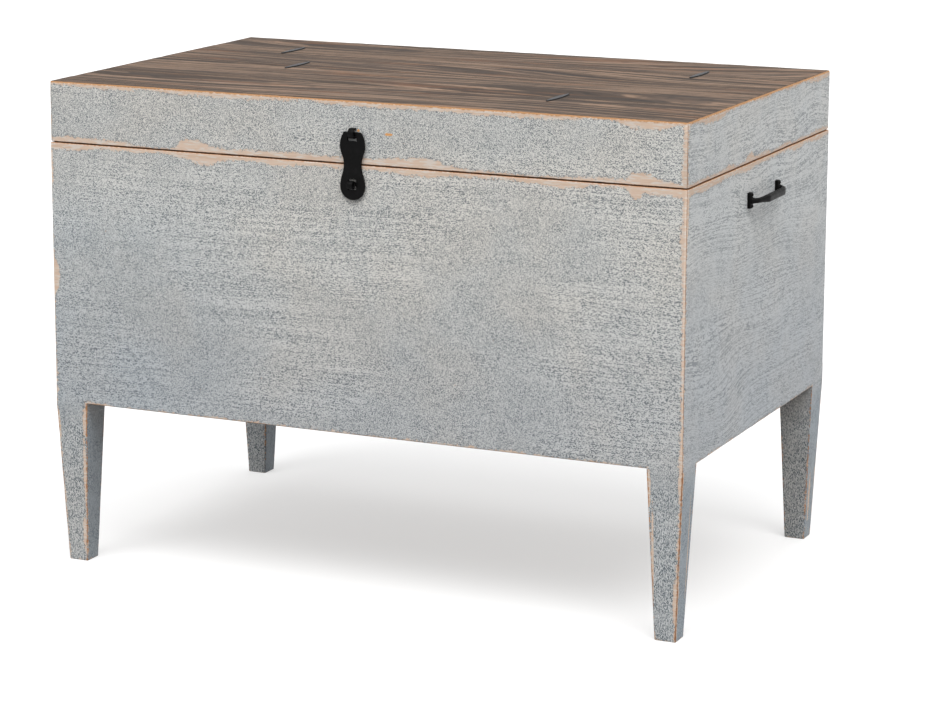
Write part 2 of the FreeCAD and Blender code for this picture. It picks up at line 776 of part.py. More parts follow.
def build_stay_arms():
    """Flat slotted arms: the slot is as long as the guide stud travels when the lid opens.

    The lid pivot and the guide stud are equally far from the hinge, so the arm always
    turns by half the lid's angle, and the stud reaches the slot's end at full opening.
    """
    for side, end in ENDS.items():
        arm = new_body(f"{side}_stay_arm")
        along, level = stay_point(1)
        place(arm, (f"{end} * ({stay_plane} - stay_thickness)" if end > 0
                    else f"-{stay_plane}", along, level))
        half = "(stay_width / 2)"
        tail = f"({stay_open} + {half})"
        outline = sketch_on(arm, "Outline", "YZ_Plane", "0")
        draw_outline(outline, [
            (half, "0"),
            ("0", half, "level start"),
            (f"-{half}", "0", "level end"),
            (f"-{half}", f"-{tail}"),
            ("0", f"-{tail} - {half}", "level start"),
            (half, f"-{tail}", "level end"),
        ])
        pad(arm, "Strip", outline, "stay_thickness")
        rod(arm, "Subtractive", "PivotHole", ("-overrun", "0", "0"), "+x",
            "stay_stud_radius + running_clearance", "stay_thickness + 2 * overrun")
        first = f"({stay_closed} - stay_slot_slack)"
        last = f"({stay_open} + moving_clearance)"
        slot = sketch_on(arm, "SlotOutline", "YZ_Plane", "-overrun")
        draw_outline(slot, [
            (stud_radius_in_slot, f"-{first}", "level end"),
            (f"{stud_radius_in_slot}", f"-{last}"),
            ("0", f"-{last} - {stud_radius_in_slot}", "level start"),
            (f"-{stud_radius_in_slot}", f"-{last}", "level end"),
            (f"-{stud_radius_in_slot}", f"-{first}"),
            ("0", f"{stud_radius_in_slot} - {first}", "level start"),
        ])
        pocket = arm.newObject("PartDesign::Pocket", "Slot")
        pocket.Profile = slot
        pocket.Reversed = True
        pocket.setExpression("Length", linked("stay_thickness + 2 * overrun"))


# Hasp and its staples

def build_hasp():
    """The hanging plate: a waisted outline, a slot under its pivot bar and an eye slot."""
    plate = new_body("hasp_plate")
    outline = sketch_on(plate, "Outline", "XZ_Plane", "overall_depth / 2 + hasp_stand_off"
                        " - hasp_thickness / 2")
    low = f"({hasp_foot} + hasp_lower_width / 2)"
    waist = f"({hasp_foot} + hasp_waist_height)"
    high = f"({hasp_foot} + hasp_upper_height)"
    lower, middle, upper = "hasp_lower_width / 2", "hasp_waist_width / 2", "hasp_upper_width / 2"
    right_side = [
        (lower, low, "level end"),
        (f"({lower} + {middle}) / 2", f"({low} + {waist}) / 2", "level start"),
        (middle, waist, "level end"),
        (f"({middle} + {upper}) / 2", f"({waist} + {high}) / 2", "level start"),
        (upper, high, "level end"),
        ("hasp_top_width / 2", f"{hasp_top} - hasp_top_round", "level start"),
        ("hasp_top_width / 2 - hasp_top_round", hasp_top, "plumb end"),
    ]
    points = [("0", hasp_foot, "plumb end"), *right_side]
    swap = {"level start": "level end", "level end": "level start", "plumb end": "plumb start"}
    left_side = []
    for index in range(len(right_side) - 1, -1, -1):
        x, z, _ = right_side[index]
        above = right_side[index + 1][2] if index + 1 < len(right_side) else None
        point = (f"-({x})", z)
        left_side.append(point + (swap[above],) if above else point)
    draw_outline(outline, points + left_side)
    pad(plate, "Plate", outline, "hasp_thickness")
    slot_top = f"({hasp_top} - hasp_bar_height)"
    middle_depth = "-overall_depth / 2 - hasp_stand_off"
    box(plate, "Subtractive", "PivotSlot",
        ("0", middle_depth, f"{slot_top} - hasp_slot_height / 2"),
        ("hasp_slot_width", "hasp_thickness + 2 * overrun", "hasp_slot_height"))
    box(plate, "Subtractive", "EyeSlot", ("0", middle_depth, eye_level),
        ("hasp_eye_slot_width", "hasp_thickness + 2 * overrun", "hasp_eye_slot_height"))
    front = -number("overall_depth / 2 + hasp_stand_off + hasp_thickness / 2")
    half_slot = number("hasp_slot_width") / 2 + number("fit_clearance")
    dress_edges(plate, "Chamfer", "HammeredEdge", "hasp_arris",
                lambda edge: lies_at(edge, "Y", front)
                and max(abs(edge.BoundBox.XMin), abs(edge.BoundBox.XMax)) > half_slot)


def build_lid_staple():
    """A strap bent round the hasp's pivot bar and driven into the lid."""
    staple = new_body("hasp_lid_staple")
    strap = sketch_on(staple, "Strap", "YZ_Plane", "0")
    inner, outer = "staple_inner_radius", "(staple_inner_radius + staple_thickness)"
    bend = "(-overall_depth / 2 - hasp_stand_off)"
    root = "(staple_depth - overall_depth / 2)"
    level = staple_level
    draw_outline(strap, [
        (root, f"{level} + {outer}"),
        (bend, f"{level} + {outer}"),
        (f"{bend} - {outer}", level, "plumb start"),
        (bend, f"{level} - {outer}", "plumb end"),
        (root, f"{level} - {outer}"),
        (root, f"{level} - {inner}"),
        (bend, f"{level} - {inner}"),
        (f"{bend} - {inner}", level, "plumb start"),
        (bend, f"{level} + {inner}", "plumb end"),
        (root, f"{level} + {inner}"),
    ])
    pad(staple, "Bend", strap, "staple_width", symmetric=True)


def build_padlock_eye():
    """A forged eye on a flat neck, driven into the case; a padlock passes along X."""
    eye = new_body("padlock_eye")
    centre = f"(-overall_depth / 2 - {eye_offset})"
    rod(eye, "Additive", "Ring", ("-eye_width / 2", centre, eye_level), "+x",
        "eye_radius", "eye_width")
    neck = f"(staple_depth + {eye_offset})"
    box(eye, "Additive", "Neck",
        ("0", f"{centre} + {neck} / 2", eye_level),
        ("eye_width", neck, "eye_neck_height"))
    rod(eye, "Subtractive", "Hole", ("-eye_width / 2 - overrun", centre, eye_level), "+x",
        "eye_hole_radius", "eye_width + 2 * overrun")


# End handles

def handle_nail_places():
    return [
        (f"{along} * handle_spread", f"{handle_level} + {up} * handle_nail_spread")
        for along in (-0.5, 0.5)
        for up in (-0.5, 0.5)
    ]


def drill_handle_holes(panel, frame):
    for index, (x, z) in enumerate(handle_nail_places()):
        nail_hole(panel, f"HandleNailHole{index}", (x, f"-{frame['across']} / 2", z), "+y",
                  "nail_length + wood_gap")


def build_handles():
    """Forged pulls: two feet, eight-sided arms that splay out to a thicker grip."""
    for side in ENDS:
        across = SIDES[side]["across"]
        handle = new_body(f"{side}_handle", side)
        half = "(handle_spread / 2)"
        face = f"(-{across} / 2)"
        grip_line = f"({face} - handle_projection + grip_thickness / 2)"
        add_handle_foot(handle, "Left", f"-{half}", face)
        add_handle_arm(handle, "Left", -1, face)
        grip = sketch_on(handle, "GripSection", "YZ_Plane", "0")
        draw_outline(grip, [
            (f"{grip_line} + {y}", f"{handle_level} + {z}")
            for y, z in eight_sided("grip_thickness", "grip_height", "grip_facet")
        ])
        pad(handle, "Grip", grip, "grip_length", symmetric=True)
        add_handle_arm(handle, "Right", 1, face)
        add_handle_foot(handle, "Right", half, face)
        for index, (x, z) in enumerate(handle_nail_places()):
            nail_hole(handle, f"NailHole{index}", (x, f"{face} - handle_foot_thickness", z),
                      "+y", "handle_foot_thickness + overrun")


def add_handle_arm(handle, name, end, face):
    """An arm that leaves its foot square, bends, and runs slanting into the grip's end."""
    middle = f"({end} * handle_spread / 2)"
    front = f"({face} - handle_foot_thickness)"
    start = f"({front} + moving_clearance)"
    arm_width = "(2 * handle_arm_radius)"
    corner_cut = "handle_arm_radius * (2 - sqrt(2))"
    section = sketch_on(handle, f"{name}ArmSection", "XZ_Plane", f"-{start}")
    draw_outline(section, [
        (f"{middle} + {x}", f"{handle_level} + {z}")
        for x, z in eight_sided(arm_width, arm_width, corner_cut)
    ])
    line = sketch_on(handle, f"{name}ArmLine", "XY_Plane", handle_level)
    draw_outline(line, [
        (middle, start),
        (middle, front),
        (f"{middle} - {end} * handle_bend * (1 - cos({arm_splay}))",
         f"{front} - handle_bend * sin({arm_splay})", "level start"),
        (f"{end} * (grip_length / 2 - handle_arm_lap)",
         f"{front} - {arm_rise} - handle_arm_lap / tan({arm_splay})"),
    ], closed=False)
    arm = handle.newObject("PartDesign::AdditivePipe", f"{name}Arm")
    arm.Profile = section
    arm.Spine = line


def add_handle_foot(handle, name, x, face):
    """An upright foot plate with eased edges and a flared neck for the arm."""
    box(handle, "Additive", f"{name}Foot",
        (x, f"{face} - handle_foot_thickness / 2", handle_level),
        ("handle_foot_width", "handle_foot_thickness", "handle_foot_height"))
    outer, middle = number(f"{face} - handle_foot_thickness"), number(x)
    reach, neck = number("handle_foot_height"), number("handle_neck_width / 2")
    dress_edges(handle, "Chamfer", f"{name}FootArris", "handle_foot_arris",
                lambda edge: lies_at(edge, "Y", outer)
                and abs(edge.BoundBox.Center.x - middle) < reach
                and edge.BoundBox.DiagonalLength > neck)
    flare = handle.newObject("PartDesign::AdditiveWedge", f"{name}Neck")
    bind(flare, Ymin="0", Ymax="handle_neck_length + moving_clearance",
         Xmin="-handle_neck_width / 2", Xmax="handle_neck_width / 2",
         Zmin="-handle_neck_width / 2", Zmax="handle_neck_width / 2",
         X2min="-handle_arm_radius", X2max="handle_arm_radius",
         Z2min="-handle_arm_radius", Z2max="handle_arm_radius")
    place(flare, (x, f"{face} - handle_foot_thickness + moving_clearance", handle_level),
          NAIL_TURNS["-y"])


def build_handle_nails():
    for side in ENDS:
        across = SIDES[side]["across"]
        nails = [
            nail(f"HandleNail_{side}_{index}",
                 (x, f"-{across} / 2 - handle_foot_thickness", z), "+y",
                 "handle_foot_thickness + nail_length")
            for index, (x, z) in enumerate(handle_nail_places())
        ]
        nail_group(f"{side}_handle_nails", nails, side)


def check_and_export():
    doc.recompute()
    for feature in doc.Objects:
        if "Invalid" in feature.State or "Error" in feature.State:
            raise RuntimeError(f"{feature.Name} ({feature.Label}) failed: {feature.State}")
    os.makedirs("parts", exist_ok=True)
    for node in nodes:
        if node.Shape.isNull() or not node.Shape.isValid():
            raise RuntimeError(f"{node.Label} has no valid shape")
        node.Shape.exportStep(f"parts/{node.Label}.step")
    print(f"{len(nodes)} nodes written")


build_legs()
build_rails()
build_case()
build_lid_rim()
build_planks()
build_battens()
build_cleats()
build_hinge_leaves()
build_hinge_pins()
build_hinge_nails()
build_stay_brackets()
build_stay_nails()
build_stay_arms()
build_hasp()
build_lid_staple()
build_padlock_eye()
build_handles()
build_handle_nails()
check_and_export()
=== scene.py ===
import json
import math

import bmesh
import bpy
from mathutils import Matrix, Vector, noise


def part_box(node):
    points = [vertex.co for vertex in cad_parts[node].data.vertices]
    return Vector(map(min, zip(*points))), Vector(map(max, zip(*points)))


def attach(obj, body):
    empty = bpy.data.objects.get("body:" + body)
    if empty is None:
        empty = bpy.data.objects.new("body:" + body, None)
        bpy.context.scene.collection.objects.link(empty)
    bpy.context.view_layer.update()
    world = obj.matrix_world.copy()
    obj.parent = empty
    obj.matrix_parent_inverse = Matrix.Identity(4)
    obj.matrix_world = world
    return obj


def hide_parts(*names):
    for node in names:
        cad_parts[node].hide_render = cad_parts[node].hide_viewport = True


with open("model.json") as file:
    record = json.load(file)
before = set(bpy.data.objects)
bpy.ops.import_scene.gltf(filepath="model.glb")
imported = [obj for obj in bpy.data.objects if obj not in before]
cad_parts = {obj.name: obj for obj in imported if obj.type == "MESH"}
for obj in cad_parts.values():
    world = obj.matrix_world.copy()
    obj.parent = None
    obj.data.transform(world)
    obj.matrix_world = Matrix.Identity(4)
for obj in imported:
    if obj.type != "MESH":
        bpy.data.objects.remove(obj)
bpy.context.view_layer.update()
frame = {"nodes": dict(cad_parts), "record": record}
cadNodes = frame["nodes"]
print("stage 1: frame loaded,", len(cadNodes), "nodes")

# Main planes of the table, in metres, read from the solids that carry them
panelLow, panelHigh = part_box("front_panel")
lidLow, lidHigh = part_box("lid_front_board")
table = {
    "halfWidth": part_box("right_panel")[1].x,
    "halfDepth": -panelLow.y,
    "top": lidHigh.z,
    "lidBottom": lidLow.z,
    "caseTop": panelHigh.z,
    "panelBottom": panelLow.z,
    "caseBottom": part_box("front_rail")[0].z,
    "plankBottom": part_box("front_plank")[0].z,
    "wall": panelHigh.y - panelLow.y,
    "lip": 0.0032,
    "legHead": 0.050,
    "legFoot": 0.030,
    "plankCount": 4,
}
halfW, halfD = table["halfWidth"], table["halfDepth"]
cleatNames = sorted(name for name in cadNodes if name.endswith("cleat"))
millimetre = 0.001
tiny = 1e-6  # points nearer than this are one
hair = 1e-5  # a shorter step doesn't count
white = (1, 1, 1, 1)


def addObject(name, data):
    made = bpy.data.objects.new(name, data)
    bpy.context.scene.collection.objects.link(made)
    return made


# Camera: the photograph's viewing angle, fitted to the table's three overall sizes
camera = {
    "eye": (1.7597, -3.8179, 1.2262),
    "yaw": 24.184,
    "pitch": 11.212,
    "roll": -0.203,
    "lens": 114.166,
    "sensorWidth": 36,
    "shiftY": -0.080,
    "farthest": 60,
}


def makeCamera():
    data = bpy.data.cameras.new("productCamera")
    data.lens = camera["lens"]
    data.sensor_width = camera["sensorWidth"]
    data.shift_y = camera["shiftY"]
    data.clip_end = camera["farthest"]
    body = addObject("productCamera", data)
    body.rotation_mode = "QUATERNION"
    turn = (
        Matrix.Rotation(math.radians(camera["yaw"]), 3, "Z")
        @ Matrix.Rotation(math.radians(90 - camera["pitch"]), 3, "X")
        @ Matrix.Rotation(math.radians(-camera["roll"]), 3, "Z")
    )
    body.rotation_quaternion = turn.to_quaternion()
    body.location = camera["eye"]
    bpy.context.scene.camera = body


# Node helpers: a value is a number, a vector or a socket to link from.
# They work in the tree that the sockets given to them belong to.
def treeOf(values):
    return next(value.id_data for value in values if isinstance(value, bpy.types.NodeSocket))


def feed(socket, value):
    if isinstance(value, bpy.types.NodeSocket):
        socket.id_data.links.new(value, socket)
    else:
        socket.default_value = value


def addNode(tree, kind, inputs=None, **settings):
    node = tree.nodes.new("ShaderNode" + kind)
    for name, value in settings.items():
        setattr(node, name, value)
    for key, value in (inputs or {}).items():
        feed(node.inputs[key], value)
    return node


def maths(operation, *values):
    inputs = dict(enumerate(values))
    return addNode(treeOf(values), "Math", inputs, operation=operation).outputs[0]


def times(first, second):
    return maths("MULTIPLY", first, second)


def plus(first, second):
    return maths("ADD", first, second)


def minus(first, second):
    return maths("SUBTRACT", first, second)


def over(first, second):
    return maths("DIVIDE", first, second)


def timesPlus(value, factor, added):
    return maths("MULTIPLY_ADD", value, factor, added)


def absolute(value):
    return maths("ABSOLUTE", value)


def largest(first, *others):
    for other in others:
        first = maths("MAXIMUM", first, other)
    return first


def smallest(first, *others):
    for other in others:
        first = maths("MINIMUM", first, other)
    return first


def ramp(value, low, high, toLow=0.0, toHigh=1.0):
    inputs = {"Value": value, "From Min": low, "From Max": high, "To Min": toLow, "To Max": toHigh}
    node = addNode(value.id_data, "MapRange", inputs, interpolation_type="SMOOTHSTEP")
    return node.outputs["Result"]


def noiseValue(vector, scale, detail=2.0, roughness=0.5, distortion=0.0):
    inputs = {
        "Vector": vector,
        "Scale": scale,
        "Detail": detail,
        "Roughness": roughness,
        "Distortion": distortion,
    }
    return addNode(vector.id_data, "TexNoise", inputs).outputs[0]


def blendValue(factor, first, second):
    inputs = {0: factor, 2: first, 3: second}
    return addNode(treeOf(inputs.values()), "Mix", inputs, data_type="FLOAT").outputs[0]


def mixColour(factor, first, second, blend="MIX"):
    inputs = {0: factor, 6: first, 7: second}
    tree = treeOf(inputs.values())
    return addNode(tree, "Mix", inputs, data_type="RGBA", blend_type=blend).outputs[2]


def mixShaders(factor, first, second):
    return addNode(factor.id_data, "MixShader", {0: factor, 1: first, 2: second}).outputs[0]


def splitVector(vector):
    return tuple(addNode(vector.id_data, "SeparateXYZ", {"Vector": vector}).outputs)


def joinVector(*parts):
    return addNode(treeOf(parts), "CombineXYZ", dict(enumerate(parts))).outputs[0]


def vectorMaths(operation, *vectors):
    inputs = dict(enumerate(vectors))
    return addNode(treeOf(vectors), "VectorMath", inputs, operation=operation).outputs


def scaleVector(vector, *scales):
    return vectorMaths("MULTIPLY", vector, scales)[0]


def screenColour(*parts):
    # a colour as it looks on a screen, 0 to 255, as the linear numbers a socket holds
    shares = [part / 255 for part in parts]
    linear = [s / 12.92 if s <= 0.04045 else ((s + 0.055) / 1.055) ** 2.4 for s in shares]
    return (*linear, 1.0)


def plainGrey(value):
    return (value, value, value, 1.0)


def newGroup(name, vectors, numbers, outputs):
    tree = bpy.data.node_groups.new(name, "ShaderNodeTree")
    for kind, labels in (("Vector", vectors), ("Float", numbers)):
        for label in labels:
            tree.interface.new_socket(label, in_out="INPUT", socket_type="NodeSocket" + kind)
    for label in outputs:
        tree.interface.new_socket(label, in_out="OUTPUT", socket_type="NodeSocketFloat")
    return tree.nodes.new("NodeGroupInput").outputs, tree.nodes.new("NodeGroupOutput").inputs


def useGroup(name, **inputs):
    group = bpy.data.node_groups[name]
    return addNode(treeOf(inputs.values()), "Group", inputs, node_tree=group).outputs


# Shared surface effects
crackle = {"wander": 0.2, "dashWander": 0.1, "detail": 1.0, "roughness": 0.4, "softness": 0.05}


def makeCrackleGroup():
    # old paint drawn up into fine wandering ridges: 1 in the gaps between them
    numbers = ["Scale", "Stretch", "Rows", "Lines", "Level"]
    source, target = newGroup("crackledPaint", ["Vector"], numbers, ["Gaps"])
    vector, scale, rows = source["Vector"], source["Scale"], source["Rows"]
    texture = (crackle["detail"], crackle["roughness"])
    x, y, z = splitVector(vector)
    worms = noiseValue(vector, scale, *texture, crackle["wander"])
    drawn = joinVector(times(x, source["Stretch"]), y, z)
    dashes = noiseValue(drawn, scale, *texture, crackle["dashWander"])
    field = minus(blendValue(rows, worms, dashes), source["Level"])
    # a blend of two patterns is flatter than either, so it is drawn out again
    rest = minus(1.0, rows)
    power = timesPlus(rest, rest, times(rows, rows))
    gaps = minus(over(field, maths("SQRT", power)), source["Lines"])
    feed(target["Gaps"], ramp(gaps, -crackle["softness"], crackle["softness"], 1.0, 0.0))


# Noise scales along the grain, across it and through the board
woodFigure = {
    "swayAcross": 4.2,
    "ringsAlong": 2.2,
    "ringsThrough": 8.0,
    "streaks": (9.0, 380.0, 60.0),
    "pores": (60.0, 900.0, 400.0),
    "poreRamp": (0.56, 0.68),
}


def makeFigureGroup():
    # growth rings cut lengthwise: x runs with the grain, y across it
    outputs = ["Rings", "Streaks", "Pores", "Across"]
    source, target = newGroup("woodFigure", ["Vector"], ["Warp", "Spacing", "Bend"], outputs)
    x, y, z = splitVector(source["Vector"])
    sway = woodFigure["swayAcross"]
    slow = joinVector(times(x, source["Bend"]), times(y, sway), times(z, sway))
    across = timesPlus(minus(noiseValue(slow, 1.0, 1.0, 0.45), 0.5), source["Warp"], y)
    rings = joinVector(
        times(x, woodFigure["ringsAlong"]),
        over(across, source["Spacing"]),
        times(z, woodFigure["ringsThrough"]),
    )
    cut = joinVector(x, across, z)
    pores = noiseValue(scaleVector(cut, *woodFigure["pores"]), 1.0, 1.0)
    feed(target["Rings"], noiseValue(rings, 1.0, 2.0, 0.55))
    feed(target["Streaks"], noiseValue(scaleVector(cut, *woodFigure["streaks"]), 1.0, 3.0, 0.6))
    feed(target["Pores"], ramp(pores, *woodFigure["poreRamp"]))
    feed(target["Across"], across)


rubbing = {
    # noise scale of each row of teeth, and its height in metres
    "teeth": ((70.0, 0.0046), (170.0, 0.0060), (430.0, 0.0066), (850.0, 0.0060)),
    "bare": (-0.0005, 0.0005),
    "rim": (-0.0022, -0.0002),
    "spotEnd": 1.7,
}


def makeRubGroup():
    # turns a reach past the nearest edge into bare wood with a ragged, speckled border
    source, target = newGroup("rubbedEdge", ["Vector"], ["Reach"], ["Bare", "Rim"])
    spread = source["Reach"]
    for scale, height in rubbing["teeth"]:
        teeth = minus(noiseValue(source["Vector"], scale, 1.0), 0.5)
        spread = timesPlus(teeth, height, spread)
    feed(target["Bare"], ramp(spread, *rubbing["bare"]))
    feed(target["Rim"], ramp(spread, *rubbing["rim"]))


def makeSpotGroup():
    # one place rubbed further: 1 in its middle, and about a third on its outline
    source, target = newGroup("rubbedSpot", ["Vector", "Centre", "Size"], [], ["Amount"])
    offset = vectorMaths("SUBTRACT", source["Vector"], source["Centre"])[0]
    share = vectorMaths("DIVIDE", offset, source["Size"])[0]
    length = vectorMaths("LENGTH", share)["Value"]
    feed(target["Amount"], ramp(length, 0.0, rubbing["spotEnd"], 1.0, 0.0))


# Width of the rubbed band along each edge: (place along the edge, width), in millimetres
bandLimit = 24
bands = {
    "front": {
        "top": [
            (-470, 2), (-440, 4.5), (-355, 6.5), (-320, 4.5), (-285, 6.5), (-180, 7.5), (-110, 6),
            (-75, 3.5), (-40, 6.5), (100, 6.5), (170, 7.5), (310, 6), (345, 3), (380, 7.5),
            (415, 11.5), (438, 10.5), (455, 5), (470, 6),
        ],
        "lidFoot": [
            (-470, 6), (-425, 8), (-355, 6.5), (-330, 2), (-285, 1.5), (-264, 12.5), (-245, 16.5),
            (-222, 10.5), (-200, 7.5), (-110, 8.5), (30, 8), (65, 12), (100, 13.5), (135, 7),
            (190, 3), (280, 2.5), (330, 5), (385, 7), (405, 16.5), (425, 10), (470, 4.5),
        ],
        "caseHead": [
            (-470, 9), (-425, 8.5), (-385, 5), (-285, 5), (-250, 10.5), (-222, 15.5), (-205, 11),
            (-180, 6), (-135, 7.5), (-110, 9.5), (-75, 5.5), (30, 6), (100, 9), (135, 6),
            (205, 4.5), (275, 7.5), (310, 9), (345, 4), (385, 4), (400, 17), (412, 9), (450, 10),
            (470, 13),
        ],
        "lowCorner": [
            (200, 3), (250, 4), (330, 2), (385, 3.5), (405, 10.5), (430, 8.5), (450, 2),
            (520, 1.2), (560, 4.5), (600, 3), (686, 3),
        ],
        "highCorner": [
            (200, 7), (260, 5), (350, 4.2), (400, 5.5), (470, 5), (540, 8.5), (575, 6), (600, 9),
            (640, 7), (686, 6),
        ],
    },
    "end": {
        "top": [
            (-292, 8), (-262, 4), (-230, 10), (-190, 11), (-150, 6), (-100, 3), (-30, 4.5),
            (15, 5.5), (50, 2), (130, 5), (165, 2.5), (215, 9), (255, 9), (292, 3),
        ],
        "lidFoot": [
            (-292, 5), (-225, 4.5), (-160, 5), (-135, 8), (-105, 3), (-70, 5), (-50, 13.5),
            (-30, 6), (15, 7), (45, 3), (105, 7), (135, 2), (165, 6), (195, 3), (235, 6), (292, 4),
        ],
        "caseHead": [
            (-292, 17), (-262, 8), (-235, 10.5), (-180, 8.5), (-130, 6), (-60, 8.5), (-15, 5),
            (60, 5), (110, 4), (140, 8), (190, 4.5), (225, 7.5), (292, 3),
        ],
        "lowCorner": [(200, 1.2), (330, 1), (430, 1.8), (520, 1), (590, 6), (620, 2), (686, 5)],
        "highCorner": [(200, 3), (300, 1.2), (420, 2.2), (540, 1.2), (686, 2.8)],
    },
}
edgeWear = {
    "bottomReach": 0.0014,
    "swingScale": 21.0,
    "swing": (0.34, 0.68, 0.2, 1.8),
    "rimShare": 0.42,
    "seamLine": 0.0002,
    "mitreDepth": 0.004,
    "insideFrom": (0.0045, 0.006),
    "legReach": 0.0010,
    "legLine": 0.0028,
    "footReach": 0.0008,
    "legStretch": 0.45,
    "legSwingScale": 40.0,
    "legSwing": (0.46, 0.70, 0.5, 3.2),
    "legOuter": (0.0, 0.002, 1.7, 0.7),
    "legEnd": 0.0004,
    "legPaint": (-0.045, 0.012, 1.0, 0.0),
}


def bandWidth(place, points):
    # the band's width at this place, read from its table
    first, last = points[0][0], points[-1][0]
    shares = [((spot - first) / (last - first), width / bandLimit) for spot, width in points]
    node = addNode(place.id_data, "FloatCurve")
    curve = node.mapping.curves[0]
    curve.points[0].location, curve.points[-1].location = shares[0], shares[-1]
    for share in shares[1:-1]:
        curve.points.new(*share)
    node.mapping.update()
    travelled = minus(place, first * millimetre)
    feed(node.inputs["Value"], over(travelled, (last - first) * millimetre))
    return times(node.outputs[0], bandLimit * millimetre)


def fromFaces(x, y):
    # distances in from the planes of the ends, and of the front and the back
    return minus(halfW, absolute(x)), minus(halfD, absolute(y))


def makeEdgeGroup(face):
    # how far each point lies inside the rubbed band along the edges of case, lid and legs
    outputs = ["Reach", "Nearest", "Mitre", "Inside", "Leg"]
    source, target = newGroup(face + "Edges", ["Vector"], [], outputs)
    vector, width = source["Vector"], bands[face]
    x, y, z = splitVector(vector)
    fromSide, fromFront = fromFaces(x, y)
    along, corner = (x, fromSide) if face == "front" else (y, fromFront)
    fromTop = minus(table["top"], z)
    aboveSeam = minus(z, table["lidBottom"])
    underSeam = minus(table["caseTop"], z)
    onCase = maths("LESS_THAN", z, (table["lidBottom"] + table["caseTop"]) / 2)
    aboveBase = minus(z, table["caseBottom"])
    fromBottom = largest(absolute(aboveBase), minus(table["legHead"], corner))
    swing = ramp(noiseValue(vector, edgeWear["swingScale"]), *edgeWear["swing"])
    seam = blendValue(
        onCase,
        minus(bandWidth(along, width["lidFoot"]), aboveSeam),
        minus(bandWidth(along, width["caseHead"]), underSeam),
    )
    upright = blendValue(
        maths("GREATER_THAN", along, 0.0),
        bandWidth(z, width["lowCorner"]),
        bandWidth(z, width["highCorner"]),
    )
    boardReach = largest(
        seam,
        minus(bandWidth(along, width["top"]), fromTop),
        minus(upright, corner),
        minus(times(swing, edgeWear["bottomReach"]), fromBottom),
    )
    outer = largest(fromSide, fromFront)
    fromSeam = plus(blendValue(onCase, aboveSeam, underSeam), edgeWear["seamLine"])
    boardNearest = smallest(times(fromTop, edgeWear["rimShare"]), outer, fromBottom, fromSeam)
    across = absolute(minus(fromSide, fromFront))
    boardMitre = largest(across, minus(outer, edgeWear["mitreDepth"]))

    # the four arrises of a leg lean in with its taper
    halfHead, halfFoot = table["legHead"] / 2, table["legFoot"] / 2
    halfHere = timesPlus(z, (halfHead - halfFoot) / table["caseBottom"], halfFoot)
    sides = [
        minus(halfHere, absolute(minus(absolute(coordinate), halfSize - halfHead)))
        for coordinate, halfSize in ((x, halfW), (y, halfD))
    ]
    arris = largest(*sides)
    drawn = scaleVector(vector, 1.0, 1.0, edgeWear["legStretch"])
    legSwing = ramp(noiseValue(drawn, edgeWear["legSwingScale"]), *edgeWear["legSwing"])
    outerShare = ramp(minus(outer, halfHead), *edgeWear["legOuter"])
    onOutside = maths("LESS_THAN", outer, halfHead)
    legReach = largest(
        minus(times(times(legSwing, outerShare), edgeWear["legReach"]), arris),
        minus(times(onOutside, edgeWear["legLine"]), arris),
        minus(times(legSwing, edgeWear["footReach"]), z),
    )
    legMitre = plus(absolute(minus(*sides)), maths("GREATER_THAN", outer, halfHead))

    leg = maths("LESS_THAN", z, table["caseBottom"] - edgeWear["legEnd"])
    inside = ramp(smallest(fromSide, fromFront), *edgeWear["insideFrom"])
    feed(target["Reach"], blendValue(leg, boardReach, legReach))
    feed(target["Nearest"], blendValue(leg, boardNearest, times(arris, 0.5)))
    feed(target["Mitre"], blendValue(leg, boardMitre, legMitre))
    feed(target["Inside"], times(inside, minus(1.0, leg)))
    feed(target["Leg"], ramp(aboveBase, *edgeWear["legPaint"]))


makeCrackleGroup()
makeFigureGroup()
makeRubGroup()
makeSpotGroup()
makeEdgeGroup("front")
makeEdgeGroup("end")
print("stage 2: shared effects built")


def newMaterial(name):
    material = bpy.data.materials.new(name)
    material.use_nodes = True
    tree = material.node_tree
    place = tree.nodes.new("ShaderNodeTexCoord").outputs["Object"]
    return material, tree.nodes["Principled BSDF"], place


def turned(at, axes):
    return joinVector(*[at["xyz".index(axis)] for axis in axes])


def finishShader(shader, inputs, height, strength, distance):
    for name, value in inputs.items():
        feed(shader.inputs[name], value)
    relief = {"Height": height, "Strength": strength, "Distance": distance}
    feed(shader.inputs["Normal"], addNode(shader.id_data, "Bump", relief).outputs[0])


# Crackled paint over bare wood
paint = {
    "ridge": screenColour(216, 214, 209),
    "gap": screenColour(112, 117, 120),
    "legRidge": screenColour(222, 220, 215),
    "legGap": screenColour(96, 105, 109),
    "lowShade": screenColour(231, 234, 239),
    "driftCool": screenColour(250, 252, 254),
    "driftWarm": screenColour(255, 254, 253),
    "sideShade": screenColour(238, 244, 250),
    "rim": screenColour(92, 101, 108),
    "bare": screenColour(212, 189, 170),
    "bareStreak": screenColour(202, 174, 152),
    "barePale": screenColour(212, 203, 194),
    "arris": screenColour(166, 112, 66),
    "mitre": screenColour(128, 84, 54),
    # bare wood of the rim's crest, darkened as painted shade for the top-lit rounding
    "crestWearAndShade": screenColour(166, 124, 84),
    "lip": screenColour(90, 70, 55),
    "fresh": screenColour(216, 160, 102),
    "raw": screenColour(186, 158, 128),
    "rawDark": screenColour(150, 118, 88),
    "rawPore": screenColour(92, 66, 46),
}
